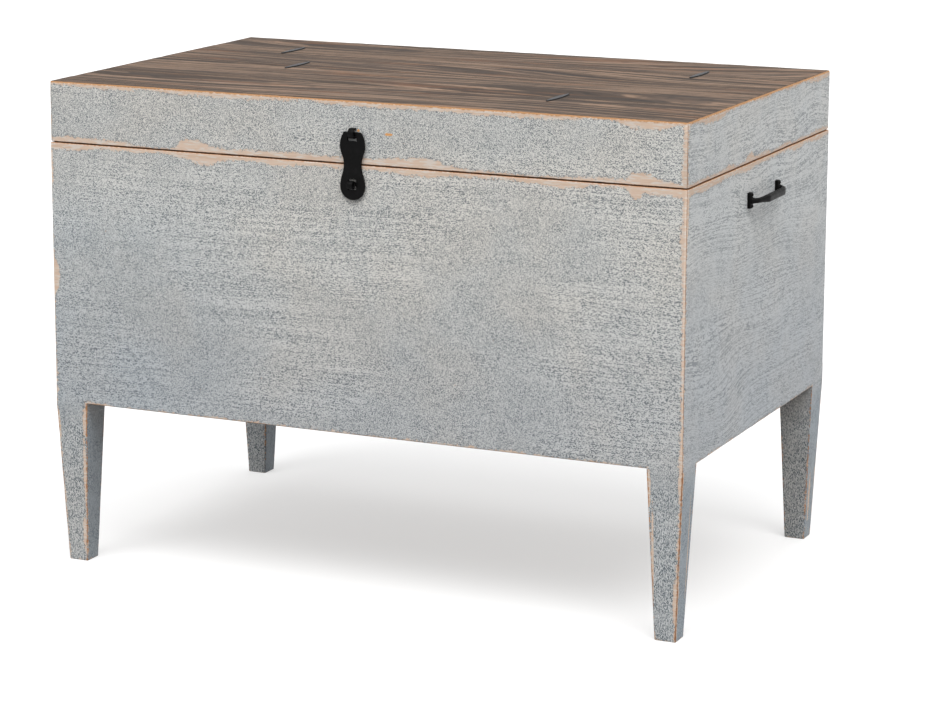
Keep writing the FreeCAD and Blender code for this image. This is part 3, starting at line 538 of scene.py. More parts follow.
# Noise scales, and ramps: where a mark starts, where it is full, and its strengths there
marks = {
    "zoneScales": (3.2, 7.0, 3.0),
    "zones": (0.42, 0.56),
    "ringLines": (0.44, 0.60, -0.5, 0.5),
    "wearScale": 34.0,
    "wear": (0.30, 0.62),
    "lowEnd": 0.24,
    "asideAcross": (-0.10, -0.40),
    "asideUp": (0.58, 0.46),
    "driftScale": 6.5,
    "driftCool": (0.40, 0.62),
    "driftWarm": (0.50, 0.36),
    "speckScale": 420.0,
    "specks": (0.46, 0.56, 0.0, 0.75),
    "streaks": (0.42, 0.62, 0.0, 0.7),
    "milkScales": (70.0, 420.0, 200.0),
    "milk": (0.48, 0.62, 0.0, 0.85),
    "roughScale": 260.0,
    "arris": (0.0003, 0.0012, 0.9, 0.0),
    "mitre": (0.0002, 0.0009, 0.9, 0.0),
    "chip": (0.28, 0.40),
    "crestWearAndShade": (0.0015, 0.0029, 0.95, 0.0),
    "lipAcross": (0.0010, 0.0019),
    "lipUp": (0.0008, 0.0003),
    "lipStrength": 0.9,
    "rawRings": (0.40, 0.62),
    "roughness": (0.0, 1.0, 0.55, 0.74),
    "relief": (0.5, 0.00035),
}
# how far the fine noise moves the outline of each mark
ragged = {"arris": 0.0022, "mitre": 0.0010, "chip": 0.9, "crestWearAndShade": 0.0030, "lip": 0.0020}
rubbedSpots = {
    # centre along the face, height, and half sizes, in metres
    "front": [
        (-0.4675, 0.196, 0.0035, 0.030),
        (-0.4670, 0.090, 0.0020, 0.060),
        (-0.4235, 0.205, 0.0045, 0.018),
        (-0.4270, 0.120, 0.0030, 0.060),
        (-0.4310, 0.040, 0.0045, 0.026),
        (0.4220, 0.205, 0.0035, 0.028),
        (0.4280, 0.100, 0.0018, 0.080),
        (0.4670, 0.212, 0.0035, 0.026),
        (0.4600, 0.050, 0.0042, 0.034),
    ],
    "end": [(0.262, 0.060, 0.0045, 0.040), (-0.256, 0.120, 0.0015, 0.070)],
}
spotReach = (0.012, -0.0042)  # rise of the reach to a spot's middle, and the reach outside it
spotDepth = 0.02
# the crackle is read at one depth, so that it doesn't fade where a leg tapers through it
crackleLevel = 0.00047
legCrackle = {"Scale": 1230.0, "Stretch": 0.34, "Rows": 0.58, "Lines": 0.0, "Level": 0.494}
frontLook = {
    "face": "front",
    "axes": "xzy",
    "legAxes": "zx",
    "figure": {"Warp": 0.035, "Spacing": 0.0019, "Bend": 1.6},
    "crackle": {"Scale": 1190.0, "Stretch": 0.46, "Level": 0.478},
    "squeeze": 0.9,
    "rows": (0.0, 0.66),
    "lines": 0.10,
    "depth": (0.80, 1.0),
    "lowFrom": 0.52,
    "lowShade": 0.9,
    "sideShade": 0.8,
    "faceShade": plainGrey(1.0),
    "legShade": plainGrey(1.0),
    "chips": [(0.0510, 0.6440, 0.0052, 0.0018), (0.0068, 0.6465, 0.0018, 0.0018)],
}
endLook = {
    "face": "end",
    "axes": "yzx",
    "legAxes": "zy",
    "figure": {"Warp": 0.12, "Spacing": 0.0021, "Bend": 3.0},
    "crackle": {"Scale": 1110.0, "Stretch": 0.42, "Level": 0.477},
    "squeeze": 0.38,
    "rows": (0.3, 0.92),
    "lines": 0.16,
    "depth": (0.32, 0.68),
    "lowFrom": 0.60,
    "lowShade": 1.0,
    "sideShade": 0.0,
    # painted shade: the end faces, and the legs' faces there, are darker and cooler than the front
    "faceShade": screenColour(248, 251, 255),
    "legShade": screenColour(222, 228, 233),
    "chips": [],
}


def spotOnFace(place, face, spot):
    across, level, halfLong, halfHigh = spot
    if face == "front":
        centre, half = (across, -halfD, level), (halfLong, spotDepth, halfHigh)
    else:
        centre, half = (halfW, across, level), (spotDepth, halfLong, halfHigh)
    return useGroup("rubbedSpot", Vector=place, Centre=centre, Size=half)["Amount"]


def paintMaterial(name, look):
    material, shader, place = newMaterial(name)
    face = look["face"]
    at = splitVector(place)
    x, y, z = at
    along = turned(at, look["axes"])
    figure = useGroup("woodFigure", Vector=along, **look["figure"])
    edge = useGroup(face + "Edges", Vector=place)
    onLeg, reach = edge["Leg"], edge["Reach"]
    for spot in rubbedSpots[face]:
        reach = largest(reach, timesPlus(spotOnFace(place, face, spot), *spotReach))
    rub = useGroup("rubbedEdge", Vector=place, Reach=reach)

    # the ridges follow the grain in some places and wander in others
    longwise = at["xyz".index(look["axes"][0])]
    grain = joinVector(times(longwise, look["squeeze"]), figure["Across"], crackleLevel)
    legGrain = joinVector(*[at["xyz".index(axis)] for axis in look["legAxes"]], crackleLevel)
    zones = noiseValue(scaleVector(along, *marks["zoneScales"]), 1.0)
    rows = ramp(zones, *marks["zones"], *look["rows"])
    lines = times(times(ramp(figure["Rings"], *marks["ringLines"]), rows), look["lines"])
    gaps = useGroup(
        "crackledPaint", Vector=grain, Rows=rows, Lines=lines, **look["crackle"]
    )["Gaps"]
    legGaps = useGroup("crackledPaint", Vector=legGrain, **legCrackle)["Gaps"]
    depth = ramp(noiseValue(place, marks["wearScale"], 3.0, 0.55), *marks["wear"], *look["depth"])
    coat = mixColour(times(gaps, depth), paint["ridge"], paint["gap"])
    legCoat = mixColour(times(legGaps, depth), paint["legRidge"], paint["legGap"])
    coat = mixColour(onLeg, coat, legCoat)

    # painted shade over the coat: darker and cooler low down, towards the left of the front, on
    # the end faces and on the legs' end faces, then a slow random drift in tone
    low = ramp(z, look["lowFrom"], marks["lowEnd"], 0.0, look["lowShade"])
    aside = times(ramp(x, *marks["asideAcross"]), ramp(z, *marks["asideUp"]))
    aside = times(aside, minus(1.0, onLeg))
    drift = noiseValue(place, marks["driftScale"], 3.0, 0.55)
    for share, tone in (
        (low, paint["lowShade"]),
        (times(aside, look["sideShade"]), paint["sideShade"]),
        (onLeg, look["legShade"]),
        (1.0, look["faceShade"]),
        (ramp(drift, *marks["driftCool"]), paint["driftCool"]),
        (ramp(drift, *marks["driftWarm"]), paint["driftWarm"]),
    ):
        coat = mixColour(share, coat, tone, "MULTIPLY")
    speck = ramp(noiseValue(place, marks["speckScale"], 1.0), *marks["specks"])
    coat = mixColour(times(rub["Rim"], speck), coat, paint["rim"])

    streaks = ramp(figure["Streaks"], *marks["streaks"])
    milk = ramp(noiseValue(scaleVector(along, *marks["milkScales"]), 1.0), *marks["milk"])
    rough = minus(noiseValue(place, marks["roughScale"]), 0.5)
    arris = ramp(timesPlus(rough, ragged["arris"], edge["Nearest"]), *marks["arris"])
    wood = mixColour(streaks, paint["bare"], paint["bareStreak"])
    wood = mixColour(milk, wood, paint["barePale"])
    wood = mixColour(arris, wood, paint["arris"])
    colour = mixColour(rub["Bare"], coat, wood)
    mitre = ramp(timesPlus(rough, ragged["mitre"], edge["Mitre"]), *marks["mitre"])
    colour = mixColour(mitre, colour, paint["mitre"])
    for chip in look["chips"]:
        chipEdge = timesPlus(rough, ragged["chip"], spotOnFace(place, face, chip))
        colour = mixColour(ramp(chipEdge, *marks["chip"]), colour, paint["fresh"])
    # painted shade: the rim's crest is worn to bare wood all along, and painted darker to hold
    # back the strong light from above
    fromTop = minus(table["top"], z)
    crestWearAndShade = ramp(timesPlus(rough, ragged["crestWearAndShade"], fromTop), *marks["crestWearAndShade"])
    colour = mixColour(crestWearAndShade, colour, paint["crestWearAndShade"])
    # the lip's flat top is as dark as the planks inside it
    fromOutside = timesPlus(rough, ragged["lip"], smallest(*fromFaces(x, y)))
    lip = times(ramp(fromOutside, *marks["lipAcross"]), ramp(fromTop, *marks["lipUp"]))
    colour = mixColour(times(lip, marks["lipStrength"]), colour, paint["lip"])
    raw = mixColour(ramp(figure["Rings"], *marks["rawRings"]), paint["raw"], paint["rawDark"])
    colour = mixColour(edge["Inside"], colour, raw)

    # the gaps lie lower than the ridges, and bare wood lower than both
    coatHeight = timesPlus(figure["Rings"], 0.3, times(blendValue(onLeg, gaps, legGaps), -0.55))
    height = blendValue(rub["Bare"], coatHeight, timesPlus(figure["Streaks"], 0.3, -1.1))
    inputs = {
        "Base Color": colour,
        "Roughness": ramp(rub["Bare"], *marks["roughness"]),
        "Specular IOR Level": 0.3,
    }
    finishShader(shader, inputs, height, *marks["relief"])
    return material


paintFront = paintMaterial("paintFront", frontLook)
paintEnd = paintMaterial("paintEnd", endLook)


# Weathered planks of the top
plankWood = {
    "dark": screenColour(57, 45, 36),
    "middle": screenColour(85, 68, 56),
    "light": screenColour(114, 93, 76),
    "pale": screenColour(144, 117, 95),
    "warm": screenColour(118, 80, 54),
    "crack": screenColour(28, 22, 19),
    "shiftAlong": 3.71,
    "shiftAcross": 0.83,
    "figure": {"Warp": 0.32, "Bend": 0.62},
    "spacings": (0.012, 0.0050),
    # scales along and across the grain, then detail, roughness and distortion
    "tongues": (4.0, 120.0, 3.0, 0.6, 0.2),
    "flecks": (9.0, 165.0, 2.0, 0.6, 0.15),
    "splits": (4.0, 210.0, 2.0, 0.5, 0.2),
    "glowScales": (6.0, 34.0, 9.0),
    "tongueRamp": (0.43, 0.53),
    "splitDip": (0.36, 0.28),
    "poreShare": 0.5,
    # reach of the painted shadow ring round each cleat
    "stainSide": 0.0026,
    "stainEnd": 0.0035,
    "stain": (0.37, 0.46, 0.0, 0.8),
    "roughness": (0.3, 0.7, 0.74, 0.60),
    "relief": (0.6, 0.0005),
}


def plankMaterial():
    material, shader, place = newMaterial("weatheredPlank")
    x, y, z = splitVector(place)
    # each plank shows its own stretch of the figure
    index = maths("FLOOR", over(plus(y, halfD), 2 * halfD / table["plankCount"]))
    longX = timesPlus(index, plankWood["shiftAlong"], x)
    shifted = joinVector(longX, timesPlus(index, plankWood["shiftAcross"], y), z)
    # broad growth rings close into loops where the board was cut near the heart
    broad, fine = [
        useGroup("woodFigure", Vector=shifted, Spacing=spacing, **plankWood["figure"])
        for spacing in plankWood["spacings"]
    ]
    cut = joinVector(longX, broad["Across"], z)
    drawn = {}
    for name in ("tongues", "flecks", "splits"):
        alongScale, acrossScale, *texture = plankWood[name]
        drawn[name] = noiseValue(scaleVector(cut, alongScale, acrossScale, 1.0), 1.0, *texture)
    glow = noiseValue(scaleVector(shifted, *plankWood["glowScales"]), 1.0)
    tongues = ramp(drawn["tongues"], *plankWood["tongueRamp"])
    colour = mixColour(tongues, plankWood["dark"], plankWood["middle"])
    # where each mark starts, where it is full, how strong it is there, and its colour
    for mark, start, full, strength, tone in (
        (broad["Rings"], 0.50, 0.62, 0.60, "light"),
        (broad["Rings"], 0.45, 0.37, 0.45, "dark"),
        (drawn["flecks"], 0.54, 0.63, 0.55, "pale"),
        (drawn["splits"], 0.44, 0.37, 0.80, "crack"),
        (fine["Rings"], 0.54, 0.62, 0.50, "pale"),
        (fine["Rings"], 0.48, 0.41, 0.85, "dark"),
        (fine["Streaks"], 0.42, 0.28, 0.60, "crack"),
        (glow, 0.56, 0.72, 0.45, "warm"),
    ):
        colour = mixColour(ramp(mark, start, full, 0.0, strength), colour, plankWood[tone])
    colour = mixColour(times(fine["Pores"], plankWood["poreShare"]), colour, plankWood["crack"])
    # painted shadow: a black ring round each cleat, standing in for the shade under its edges
    for name in cleatNames:
        low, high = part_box(name)
        half = (high - low) / 2
        centre = (low.x + half.x, low.y + half.y, table["top"])
        reach = (half.x + plankWood["stainSide"], half.y + plankWood["stainEnd"], spotDepth)
        stain = useGroup("rubbedSpot", Vector=place, Centre=centre, Size=reach)["Amount"]
        colour = mixColour(ramp(stain, *plankWood["stain"]), colour, plankWood["crack"])
    height = timesPlus(fine["Pores"], -0.6, timesPlus(fine["Streaks"], 0.6, fine["Rings"]))
    height = timesPlus(ramp(drawn["splits"], *plankWood["splitDip"]), -1.0, height)
    inputs = {
        "Base Color": colour,
        "Roughness": ramp(fine["Rings"], *plankWood["roughness"]),
        "Specular IOR Level": 0.2,
    }
    finishShader(shader, inputs, height, *plankWood["relief"])
    return material


# Plain wood inside
rawWood = {
    "figure": {"Warp": 0.09, "Spacing": 0.007, "Bend": 1.5},
    "rings": (0.38, 0.66),
    "streaks": (0.4, 0.7, 0.0, 0.35),
    "poreShare": 0.35,
    "roughness": (0.3, 0.7, 0.6, 0.75),
    "relief": (0.4, 0.0003),
}


def rawWoodMaterial(name, axes):
    material, shader, place = newMaterial(name)
    along = turned(splitVector(place), axes)
    figure = useGroup("woodFigure", Vector=along, **rawWood["figure"])
    rings = ramp(figure["Rings"], *rawWood["rings"])
    streaks = ramp(figure["Streaks"], *rawWood["streaks"])
    colour = mixColour(rings, paint["raw"], paint["rawDark"])
    colour = mixColour(streaks, colour, paint["bareStreak"])
    colour = mixColour(times(figure["Pores"], rawWood["poreShare"]), colour, paint["rawPore"])
    inputs = {"Base Color": colour, "Roughness": ramp(figure["Rings"], *rawWood["roughness"])}
    finishShader(shader, inputs, figure["Streaks"], *rawWood["relief"])
    return material


# Forged iron
forging = {
    "fineScale": 9.0,
    "rubbedScale": 0.8,
    "rubbed": (0.52, 0.72),
    "rubbedShare": 0.7,
    "wornShare": 0.3,
    "wornDepth": 0.0005,
    "scaleDark": screenColour(14, 13, 13),
    "scaleRamp": (0.35, 0.6, 0.35, 0.0),
    "glossRamp": (0.35, 0.65),
    "relief": (0.5, 0.0006),
}
irons = {
    "blackIron": {
        "dark": screenColour(8, 8, 8),
        "light": screenColour(21, 20, 21),
        "scale": 120.0,
        "roughness": (0.36, 0.52),
        "metallic": 0.0,
        "gloss": 0.08,
    },
    "cleatIron": {
        "dark": screenColour(22, 21, 22),
        "light": screenColour(76, 80, 87),
        "scale": 260.0,
        "roughness": (0.40, 0.58),
        "metallic": 0.2,
        "gloss": 0.2,
        # above this level the top is rubbed pale; below it the sides stay dark as painted shade
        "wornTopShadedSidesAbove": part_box("front_right_cleat")[1].z,
    },
}


def makeForgedGroup():
    # shallow hammer marks with fine scale between them
    source, target = newGroup("hammeredIron", ["Vector"], ["Scale"], ["Dents", "Scales", "Rubbed"])
    vector, scale = source["Vector"], source["Scale"]
    inputs = {"Vector": vector, "Scale": scale}
    cells = addNode(vector.id_data, "TexVoronoi", inputs, feature="SMOOTH_F1")
    rubbed = noiseValue(vector, times(scale, forging["rubbedScale"]), 4.0, 0.65)
    feed(target["Dents"], cells.outputs["Distance"])
    feed(target["Scales"], noiseValue(vector, times(scale, forging["fineScale"]), 3.0, 0.6))
    feed(target["Rubbed"], ramp(rubbed, *forging["rubbed"]))


def ironMaterial(name):
    look = irons[name]
    material, shader, place = newMaterial(name)
    forged = useGroup("hammeredIron", Vector=place, Scale=look["scale"])
    worn = times(forged["Rubbed"], forging["rubbedShare"])
    if "wornTopShadedSidesAbove" in look:
        # only the top face is rubbed pale, and the sides are kept dark as painted shade
        level = look["wornTopShadedSidesAbove"]
        onTop = ramp(splitVector(place)[2], level - forging["wornDepth"], level)
        worn = times(onTop, plus(worn, forging["wornShare"]))
    scales = ramp(forged["Scales"], *forging["scaleRamp"])
    colour = mixColour(worn, look["dark"], look["light"])
    inputs = {
        "Base Color": mixColour(scales, colour, forging["scaleDark"]),
        "Roughness": ramp(forged["Scales"], *forging["glossRamp"], *look["roughness"]),
        "Metallic": look["metallic"],
        "Specular IOR Level": look["gloss"],
    }
    height = timesPlus(forged["Scales"], 0.15, forged["Dents"])
    finishShader(shader, inputs, height, *forging["relief"])
    return material


makeForgedGroup()
plankTop = plankMaterial()
rawAcross = rawWoodMaterial("rawWoodAcross", "xyz")
rawDeep = rawWoodMaterial("rawWoodDeep", "yxz")
blackIron = ironMaterial("blackIron")
cleatIron = ironMaterial("cleatIron")
print("stage 3: materials built")


# Wooden pieces
def cutAcross(bm, point, normal, clear=False):
    # a line of edges where the plane passes, and with clear nothing is left beyond it
    cut = bmesh.ops.bisect_plane(
        bm,
        geom=bm.verts[:] + bm.edges[:] + bm.faces[:],
        dist=1e-7,
        plane_co=point,
        plane_no=normal,
        clear_outer=clear,
    )
    return cut["geom_cut"]


def cutAway(bm, point, normal):
    # removes what lies on the side of the plane that the normal points to, and closes the cut
    cut = cutAcross(bm, point, normal, clear=True)
    rim = [item for item in cut if isinstance(item, bmesh.types.BMEdge)]
    if rim:
        bmesh.ops.contextual_create(bm, geom=rim)


def sliceAlong(bm, axis, low, high, step):
    count = int((high - low) / step)
    for index in range(1, count):
        point, normal = Vector((0, 0, 0)), Vector((0, 0, 0))
        point[axis] = low + (high - low) * index / count
        normal[axis] = 1
        cutAcross(bm, point, normal)


def roundEdges(bm, edges, amount, segments):
    return bmesh.ops.bevel(
        bm,
        geom=edges,
        offset=amount,
        offset_type="OFFSET",
        segments=segments,
        profile=0.5,
        affect="EDGES",
        material=-1,
        clamp_overlap=True,
    )


def boxMesh(low, high):
    low, high = Vector(low), Vector(high)
    bm = bmesh.new()
    bmesh.ops.create_cube(bm, size=1.0)
    bmesh.ops.scale(bm, vec=high - low, verts=bm.verts)
    bmesh.ops.translate(bm, vec=(high + low) / 2, verts=bm.verts)
    return bm


def meshFrom(bm, name, materials=()):
    mesh = bpy.data.meshes.new(name)
    bm.to_mesh(mesh)
    bm.free()
    for material in materials:
        mesh.materials.append(material)
    return mesh


def takeIn(bm, other):
    link = meshFrom(other, "link")
    bm.from_mesh(link)
    bpy.data.meshes.remove(link)


def edgesAtLevel(bm, level):
    return [e for e in bm.edges if all(abs(v.co.z - level) < tiny for v in e.verts)]


def uprightEdges(bm):
    return [e for e in bm.edges if abs(e.verts[0].co.z - e.verts[1].co.z) > 10 * hair]


# Noise scales of the dips and of the nicks in them, and how much is worn everywhere
blockWear = (42.0, 130.0, 0.25)
legWear = (40.0, 150.0, 0.3)


def wearBack(vert, core, place, depth, wear, fade=1.0):
    # takes a point of a rounded arris towards the core of its block
    dipScale, nickScale, bias = wear
    away = vert.co - core
    dip = max(0.0, noise.noise(place * dipScale) + bias)
    amount = dip + 0.5 * max(0.0, noise.noise(place * nickScale))
    vert.co -= away.normalized() * min(depth * amount * fade, away.length * 0.5)


def rubArrises(bm, low, high, rounding, depth, openBottom=False):
    # wears the rounded arrises of a block back unevenly
    coreLow = Vector(low) + Vector(rounding)
    coreHigh = Vector(high) - Vector(rounding)
    if openBottom:
        coreLow.z = -1
    for vert in bm.verts:
        core = Vector([min(max(c, a), b) for c, a, b in zip(vert.co, coreLow, coreHigh)])
        if sum(1 for c in vert.co - core if abs(c) > hair) >= 2:
            wearBack(vert, core, vert.co, depth, blockWear)


def placePiece(bm, name, materials, body, replaced):
    piece = addObject(name, meshFrom(bm, name, materials))
    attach(piece, body)
    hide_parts(*replaced)


def smoothSlopes(bm):
    # faces square to the axes stay flat
    for face in bm.faces:
        face.smooth = max(abs(c) for c in face.normal) < 0.999


woodSharpAngle = 0.5


def finishWood(bm, name, materials, body, replaced):
    # a second material goes to the faces that look along x
    bmesh.ops.remove_doubles(bm, verts=bm.verts, dist=tiny)
    bmesh.ops.recalc_face_normals(bm, faces=bm.faces)
    smoothSlopes(bm)
    for face in bm.faces:
        if len(materials) > 1 and abs(face.normal.x) > abs(face.normal.y):
            face.material_index = 1
    for edge in bm.edges:
        if len(edge.link_faces) == 2 and edge.calc_face_angle() > woodSharpAngle:
            edge.smooth = False
    placePiece(bm, name, materials, body, replaced)


def finishPainted(bm, name, body, node):
    finishWood(bm, name, [paintFront, paintEnd], body, [node])


boards = {
    # radii of the upright, the upper and the lower edges
    "caseRounds": (0.0032, 0.0010, 0),
    "lidRounds": (0.0055, 0.0024, 0.0010),
    "segments": 4,
    "sliceStep": 0.011,
    "sliceMargin": 0.02,
    "wornDepth": 0.0007,
}
boardSides = {
    "front": (Vector((0, -1, 0)), Vector((1, 0, 0))),
    "right": (Vector((1, 0, 0)), Vector((0, 1, 0))),
    "back": (Vector((0, 1, 0)), Vector((1, 0, 0))),
    "left": (Vector((-1, 0, 0)), Vector((0, 1, 0))),
}


def roundedBlock(low, high, rounds):
    corner, upper, lower = rounds
    bm = boxMesh(low, high)
    roundEdges(bm, uprightEdges(bm), corner, boards["segments"])
    for level, amount in ((high[2], upper), (low[2], lower)):
        if amount:
            roundEdges(bm, edgesAtLevel(bm, level), amount, boards["segments"])
    return bm


def sideSizes(side):
    # where a side looks, how it runs, its distance from the middle, and half its length
    outward, along = boardSides[side]
    halfOut = abs(outward.x) * halfW + abs(outward.y) * halfD
    halfLong = abs(along.x) * halfW + abs(along.y) * halfD
    return outward, along, halfOut, halfLong


def runsAlong(side):
    return 0 if boardSides[side][1].x else 1


def cutBoard(bm, side, thickness):
    # one mitred board out of the whole block
    outward, along, halfOut, halfLong = sideSizes(side)
    for sign in (-1, 1):
        cutAway(bm, outward * halfOut + along * sign * halfLong, along * sign - outward)
    cutAway(bm, outward * (halfOut - thickness), -outward)


def addLip(bm, side, low, high, rounds):
    # beside the planks only a narrow lip of the board goes on up, without a seam
    outward, _, halfOut, _ = sideSizes(side)
    level, upward = Vector((0, 0, table["plankBottom"])), Vector((0, 0, 1))
    inner = halfOut - table["lip"]
    cutAway(bm, level, upward)
    cutAcross(bm, outward * inner, outward)
    lip = roundedBlock(low, high, rounds)
    cutBoard(lip, side, table["lip"])
    cutAway(lip, level, -upward)
    for half in (bm, lip):
        half.normal_update()
        middles = [(face, face.calc_center_median()) for face in half.faces]
        shared = [
            face
            for face, middle in middles
            if abs(middle.z - level.z) < tiny and middle.dot(outward) > inner - tiny
        ]
        bmesh.ops.delete(half, geom=shared, context="FACES_ONLY")
    takeIn(bm, lip)
    bmesh.ops.remove_doubles(bm, verts=bm.verts, dist=tiny)


def makeBoard(name, side, bottom, top, rounds, body, node, lip=False):
    low, high = (-halfW, -halfD, bottom), (halfW, halfD, top)
    bm = roundedBlock(low, high, rounds)
    cutBoard(bm, side, table["wall"])
    if lip:
        addLip(bm, side, low, high, rounds)
    reach = sideSizes(side)[3] - boards["sliceMargin"]
    sliceAlong(bm, runsAlong(side), -reach, reach, boards["sliceStep"])
    corner, upper, lower = rounds
    rubArrises(bm, low, high, (corner, corner, upper), boards["wornDepth"], openBottom=not lower)
    finishPainted(bm, name, body, node)


for side in boardSides:
    makeBoard(
        f"lidBoard_{side}",
        side,
        table["lidBottom"],
        table["top"],
        boards["lidRounds"],
        "lid",
        f"lid_{side}_board",
        lip=True,
    )
    makeBoard(
        f"casePanel_{side}",
        side,
        table["panelBottom"],
        table["caseTop"],
        boards["caseRounds"],
        "case",
        f"{side}_panel",
    )
print("stage 4: case and lid boards made")


rails = {"underRound": 0.0012, "segments": 3, "wornDepth": 0.0006}


def makeRail(side):
    outward, _, halfOut, halfLong = sideSizes(side)
    low, high = [corner.copy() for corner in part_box(f"{side}_rail")]
    axis, reach = runsAlong(side), halfLong - table["legHead"]
    low[axis], high[axis] = -reach, reach
    bm = boxMesh(low, high)
    under = [
        e
        for e in edgesAtLevel(bm, low.z)
        if all(abs(v.co.dot(outward) - halfOut) < tiny for v in e.verts)
    ]
    roundEdges(bm, under, rails["underRound"], rails["segments"])
    sliceAlong(bm, axis, -reach, reach, boards["sliceStep"])
    # only the lower outer arris is rubbed, so the block is taken longer and higher than the rail
    far = (1, halfD, 2) if axis == 0 else (halfW, 1, 2)
    near = (-far[0], -far[1], low.z)
    rubArrises(bm, near, far, (rails["underRound"],) * 3, rails["wornDepth"])
    finishPainted(bm, f"baseRail_{side}", "case", f"{side}_rail")


for side in boardSides:
    makeRail(side)


legs = {
    "arris": 0.0021,
    "segments": 4,
    "footArris": 0.0012,
    "footSegments": 2,
    "wornDepth": 0.0008,
    "sliceStep": 0.009,
    "firstSlice": 0.004,
}


def makeLeg(end, face, signX, signY):
    head, foot, base = table["legHead"], table["legFoot"], table["caseBottom"]
    halfHead = head / 2
    middle = Vector((signX * (halfW - halfHead), signY * (halfD - halfHead), 0))
    bm = boxMesh((-halfHead, -halfHead, 0), (halfHead, halfHead, table["panelBottom"]))
    cutAcross(bm, (0, 0, base), (0, 0, 1))
    under = [v for v in bm.verts if v.co.z < tiny]
    bmesh.ops.scale(bm, vec=(foot / head, foot / head, 1), verts=under)
    roundEdges(bm, uprightEdges(bm), legs["arris"], legs["segments"])
    roundEdges(bm, edgesAtLevel(bm, 0), legs["footArris"], legs["footSegments"])

    def isOuter(co):
        return co.x * signX > 0 and co.y * signY > 0

    # above the base the three arrises inside the frame are square again, flush with the rails
    for vert in bm.verts:
        if vert.co.z > base - hair and not isOuter(vert.co):
            vert.co.x = math.copysign(halfHead, vert.co.x)
            vert.co.y = math.copysign(halfHead, vert.co.y)
    bmesh.ops.remove_doubles(bm, verts=bm.verts, dist=tiny)
    sliceAlong(bm, 2, legs["firstSlice"], base, legs["sliceStep"])
    sliceAlong(bm, 2, base, table["panelBottom"], legs["sliceStep"])
    for vert in bm.verts:
        share = min(vert.co.z / base, 1.0)
        fade = 1.0 if isOuter(vert.co) else 1.0 - share
        half = (foot + (head - foot) * share) / 2 - legs["arris"] * fade
        coreX, coreY = [min(max(c, -half), half) for c in vert.co[:2]]
        if abs(vert.co.x - coreX) > hair and abs(vert.co.y - coreY) > hair:
            core = Vector((coreX, coreY, vert.co.z))
            wearBack(vert, core, vert.co + middle, legs["wornDepth"], legWear, fade)
    bmesh.ops.translate(bm, vec=middle, verts=bm.verts)
    finishPainted(bm, f"leg_{face}_{end}", "case", f"{face}_{end}_leg")


for end, signX in (("left", -1), ("right", 1)):
    for face, signY in (("front", -1), ("back", 1)):
        makeLeg(end, face, signX, signY)
print("stage 5: legs and rails made")


planks = {
    "arris": 0.0007,
    "segments": 3,
    "sliceStep": 0.012,
    "sliceMargin": 0.01,
    "wornDepth": 0.0005,
}


def makePlank(name):
    low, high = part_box(f"{name}_plank")
    margin = planks["sliceMargin"]
    bm = boxMesh(low, high)
    roundEdges(bm, edgesAtLevel(bm, high.z), planks["arris"], planks["segments"])
    sliceAlong(bm, 0, low.x + margin, high.x - margin, planks["sliceStep"])
    rubArrises(bm, low, high, (planks["arris"],) * 3, planks["wornDepth"], openBottom=True)
    finishWood(bm, f"plank_{name}", [plankTop], "lid", [f"{name}_plank"])


for name in ("front", "front_middle", "back_middle", "back"):
    makePlank(name)
print("stage 6: planks made")


# End handles: a rounded bar swept from foot to foot
handle = {
    "level": 0.551,
    "footHalfSpread": 0.057,
    "footSize": (0.005, 0.010, 0.0215),
    "footArris": 0.0014,
    "footSegments": 3,
    "bendRadius": 0.008,
    "splay": 74.6,
    "bendSteps": 7,
    "neckSteps": 3,
    "armRadius": 0.0035,
    "neckRadius": 0.0047,
    "neckRises": (-0.001, 0.0008),
    "armShares": (0.2, 0.4, 0.6, 0.78, 0.92),
    "gripShares": (0.04, 0.12, 0.3, 0.6, 1.0),
    "gripStart": 0.031,
    "gripOut": 0.01825,
    "gripHalfThick": 0.00425,
    "gripHalfHigh": 0.0050,
    "squareness": (2.6, 2.3, 3.4),
    "ringSides": 20,
}


def handleStations():
    # (along, outward, half thickness, half height, squareness) from one foot to the grip's middle
    start, radius = -handle["footHalfSpread"], handle["bendRadius"]
    face, arm, neck = handle["footSize"][0], handle["armRadius"], handle["neckRadius"]
    neckSquare, armSquare, gripSquare = handle["squareness"]
    gripAlong, gripOut = -handle["gripStart"], handle["gripOut"]
    gripSize = (handle["gripHalfThick"], handle["gripHalfHigh"])
    stations = [(start, face + rise, neck, neck, neckSquare) for rise in handle["neckRises"]]
    for step in range(1, handle["bendSteps"] + 1):
        turn = math.radians(handle["splay"]) * step / handle["bendSteps"]
        thick = arm + (neck - arm) * max(0.0, 1 - step / handle["neckSteps"])
        bendAlong = start + radius * (1 - math.cos(turn))
        bendOut = face + radius * math.sin(turn)
        stations.append((bendAlong, bendOut, thick, thick, armSquare))
    for share in handle["armShares"]:
        swell = share ** 1.6
        stations.append((
            bendAlong + (gripAlong - bendAlong) * share,
            bendOut + (gripOut - bendOut) * share,
            *[arm + (half - arm) * swell for half in gripSize],
            armSquare + swell,
        ))
    for share in handle["gripShares"]:
        stations.append((gripAlong * (1 - share), gripOut, *gripSize, gripSquare))
    return stations


def placeRing(verts, station, travel, side):
    # travel is the path's direction, outward first
    along, out, thick, high, square = station
    for index, vert in enumerate(verts):
        turn = 2 * math.pi * (index + 0.5) / len(verts)
        c, s = math.cos(turn), math.sin(turn)
        c = math.copysign(abs(c) ** (2 / square), c) * thick
        s = math.copysign(abs(s) ** (2 / square), s) * high
        # the ring's thickness lies square to the path
        vert.co = Vector((out + travel.y * c, along - travel.x * c, handle["level"] + s))
        vert.co.x = side * (halfW + vert.co.x)


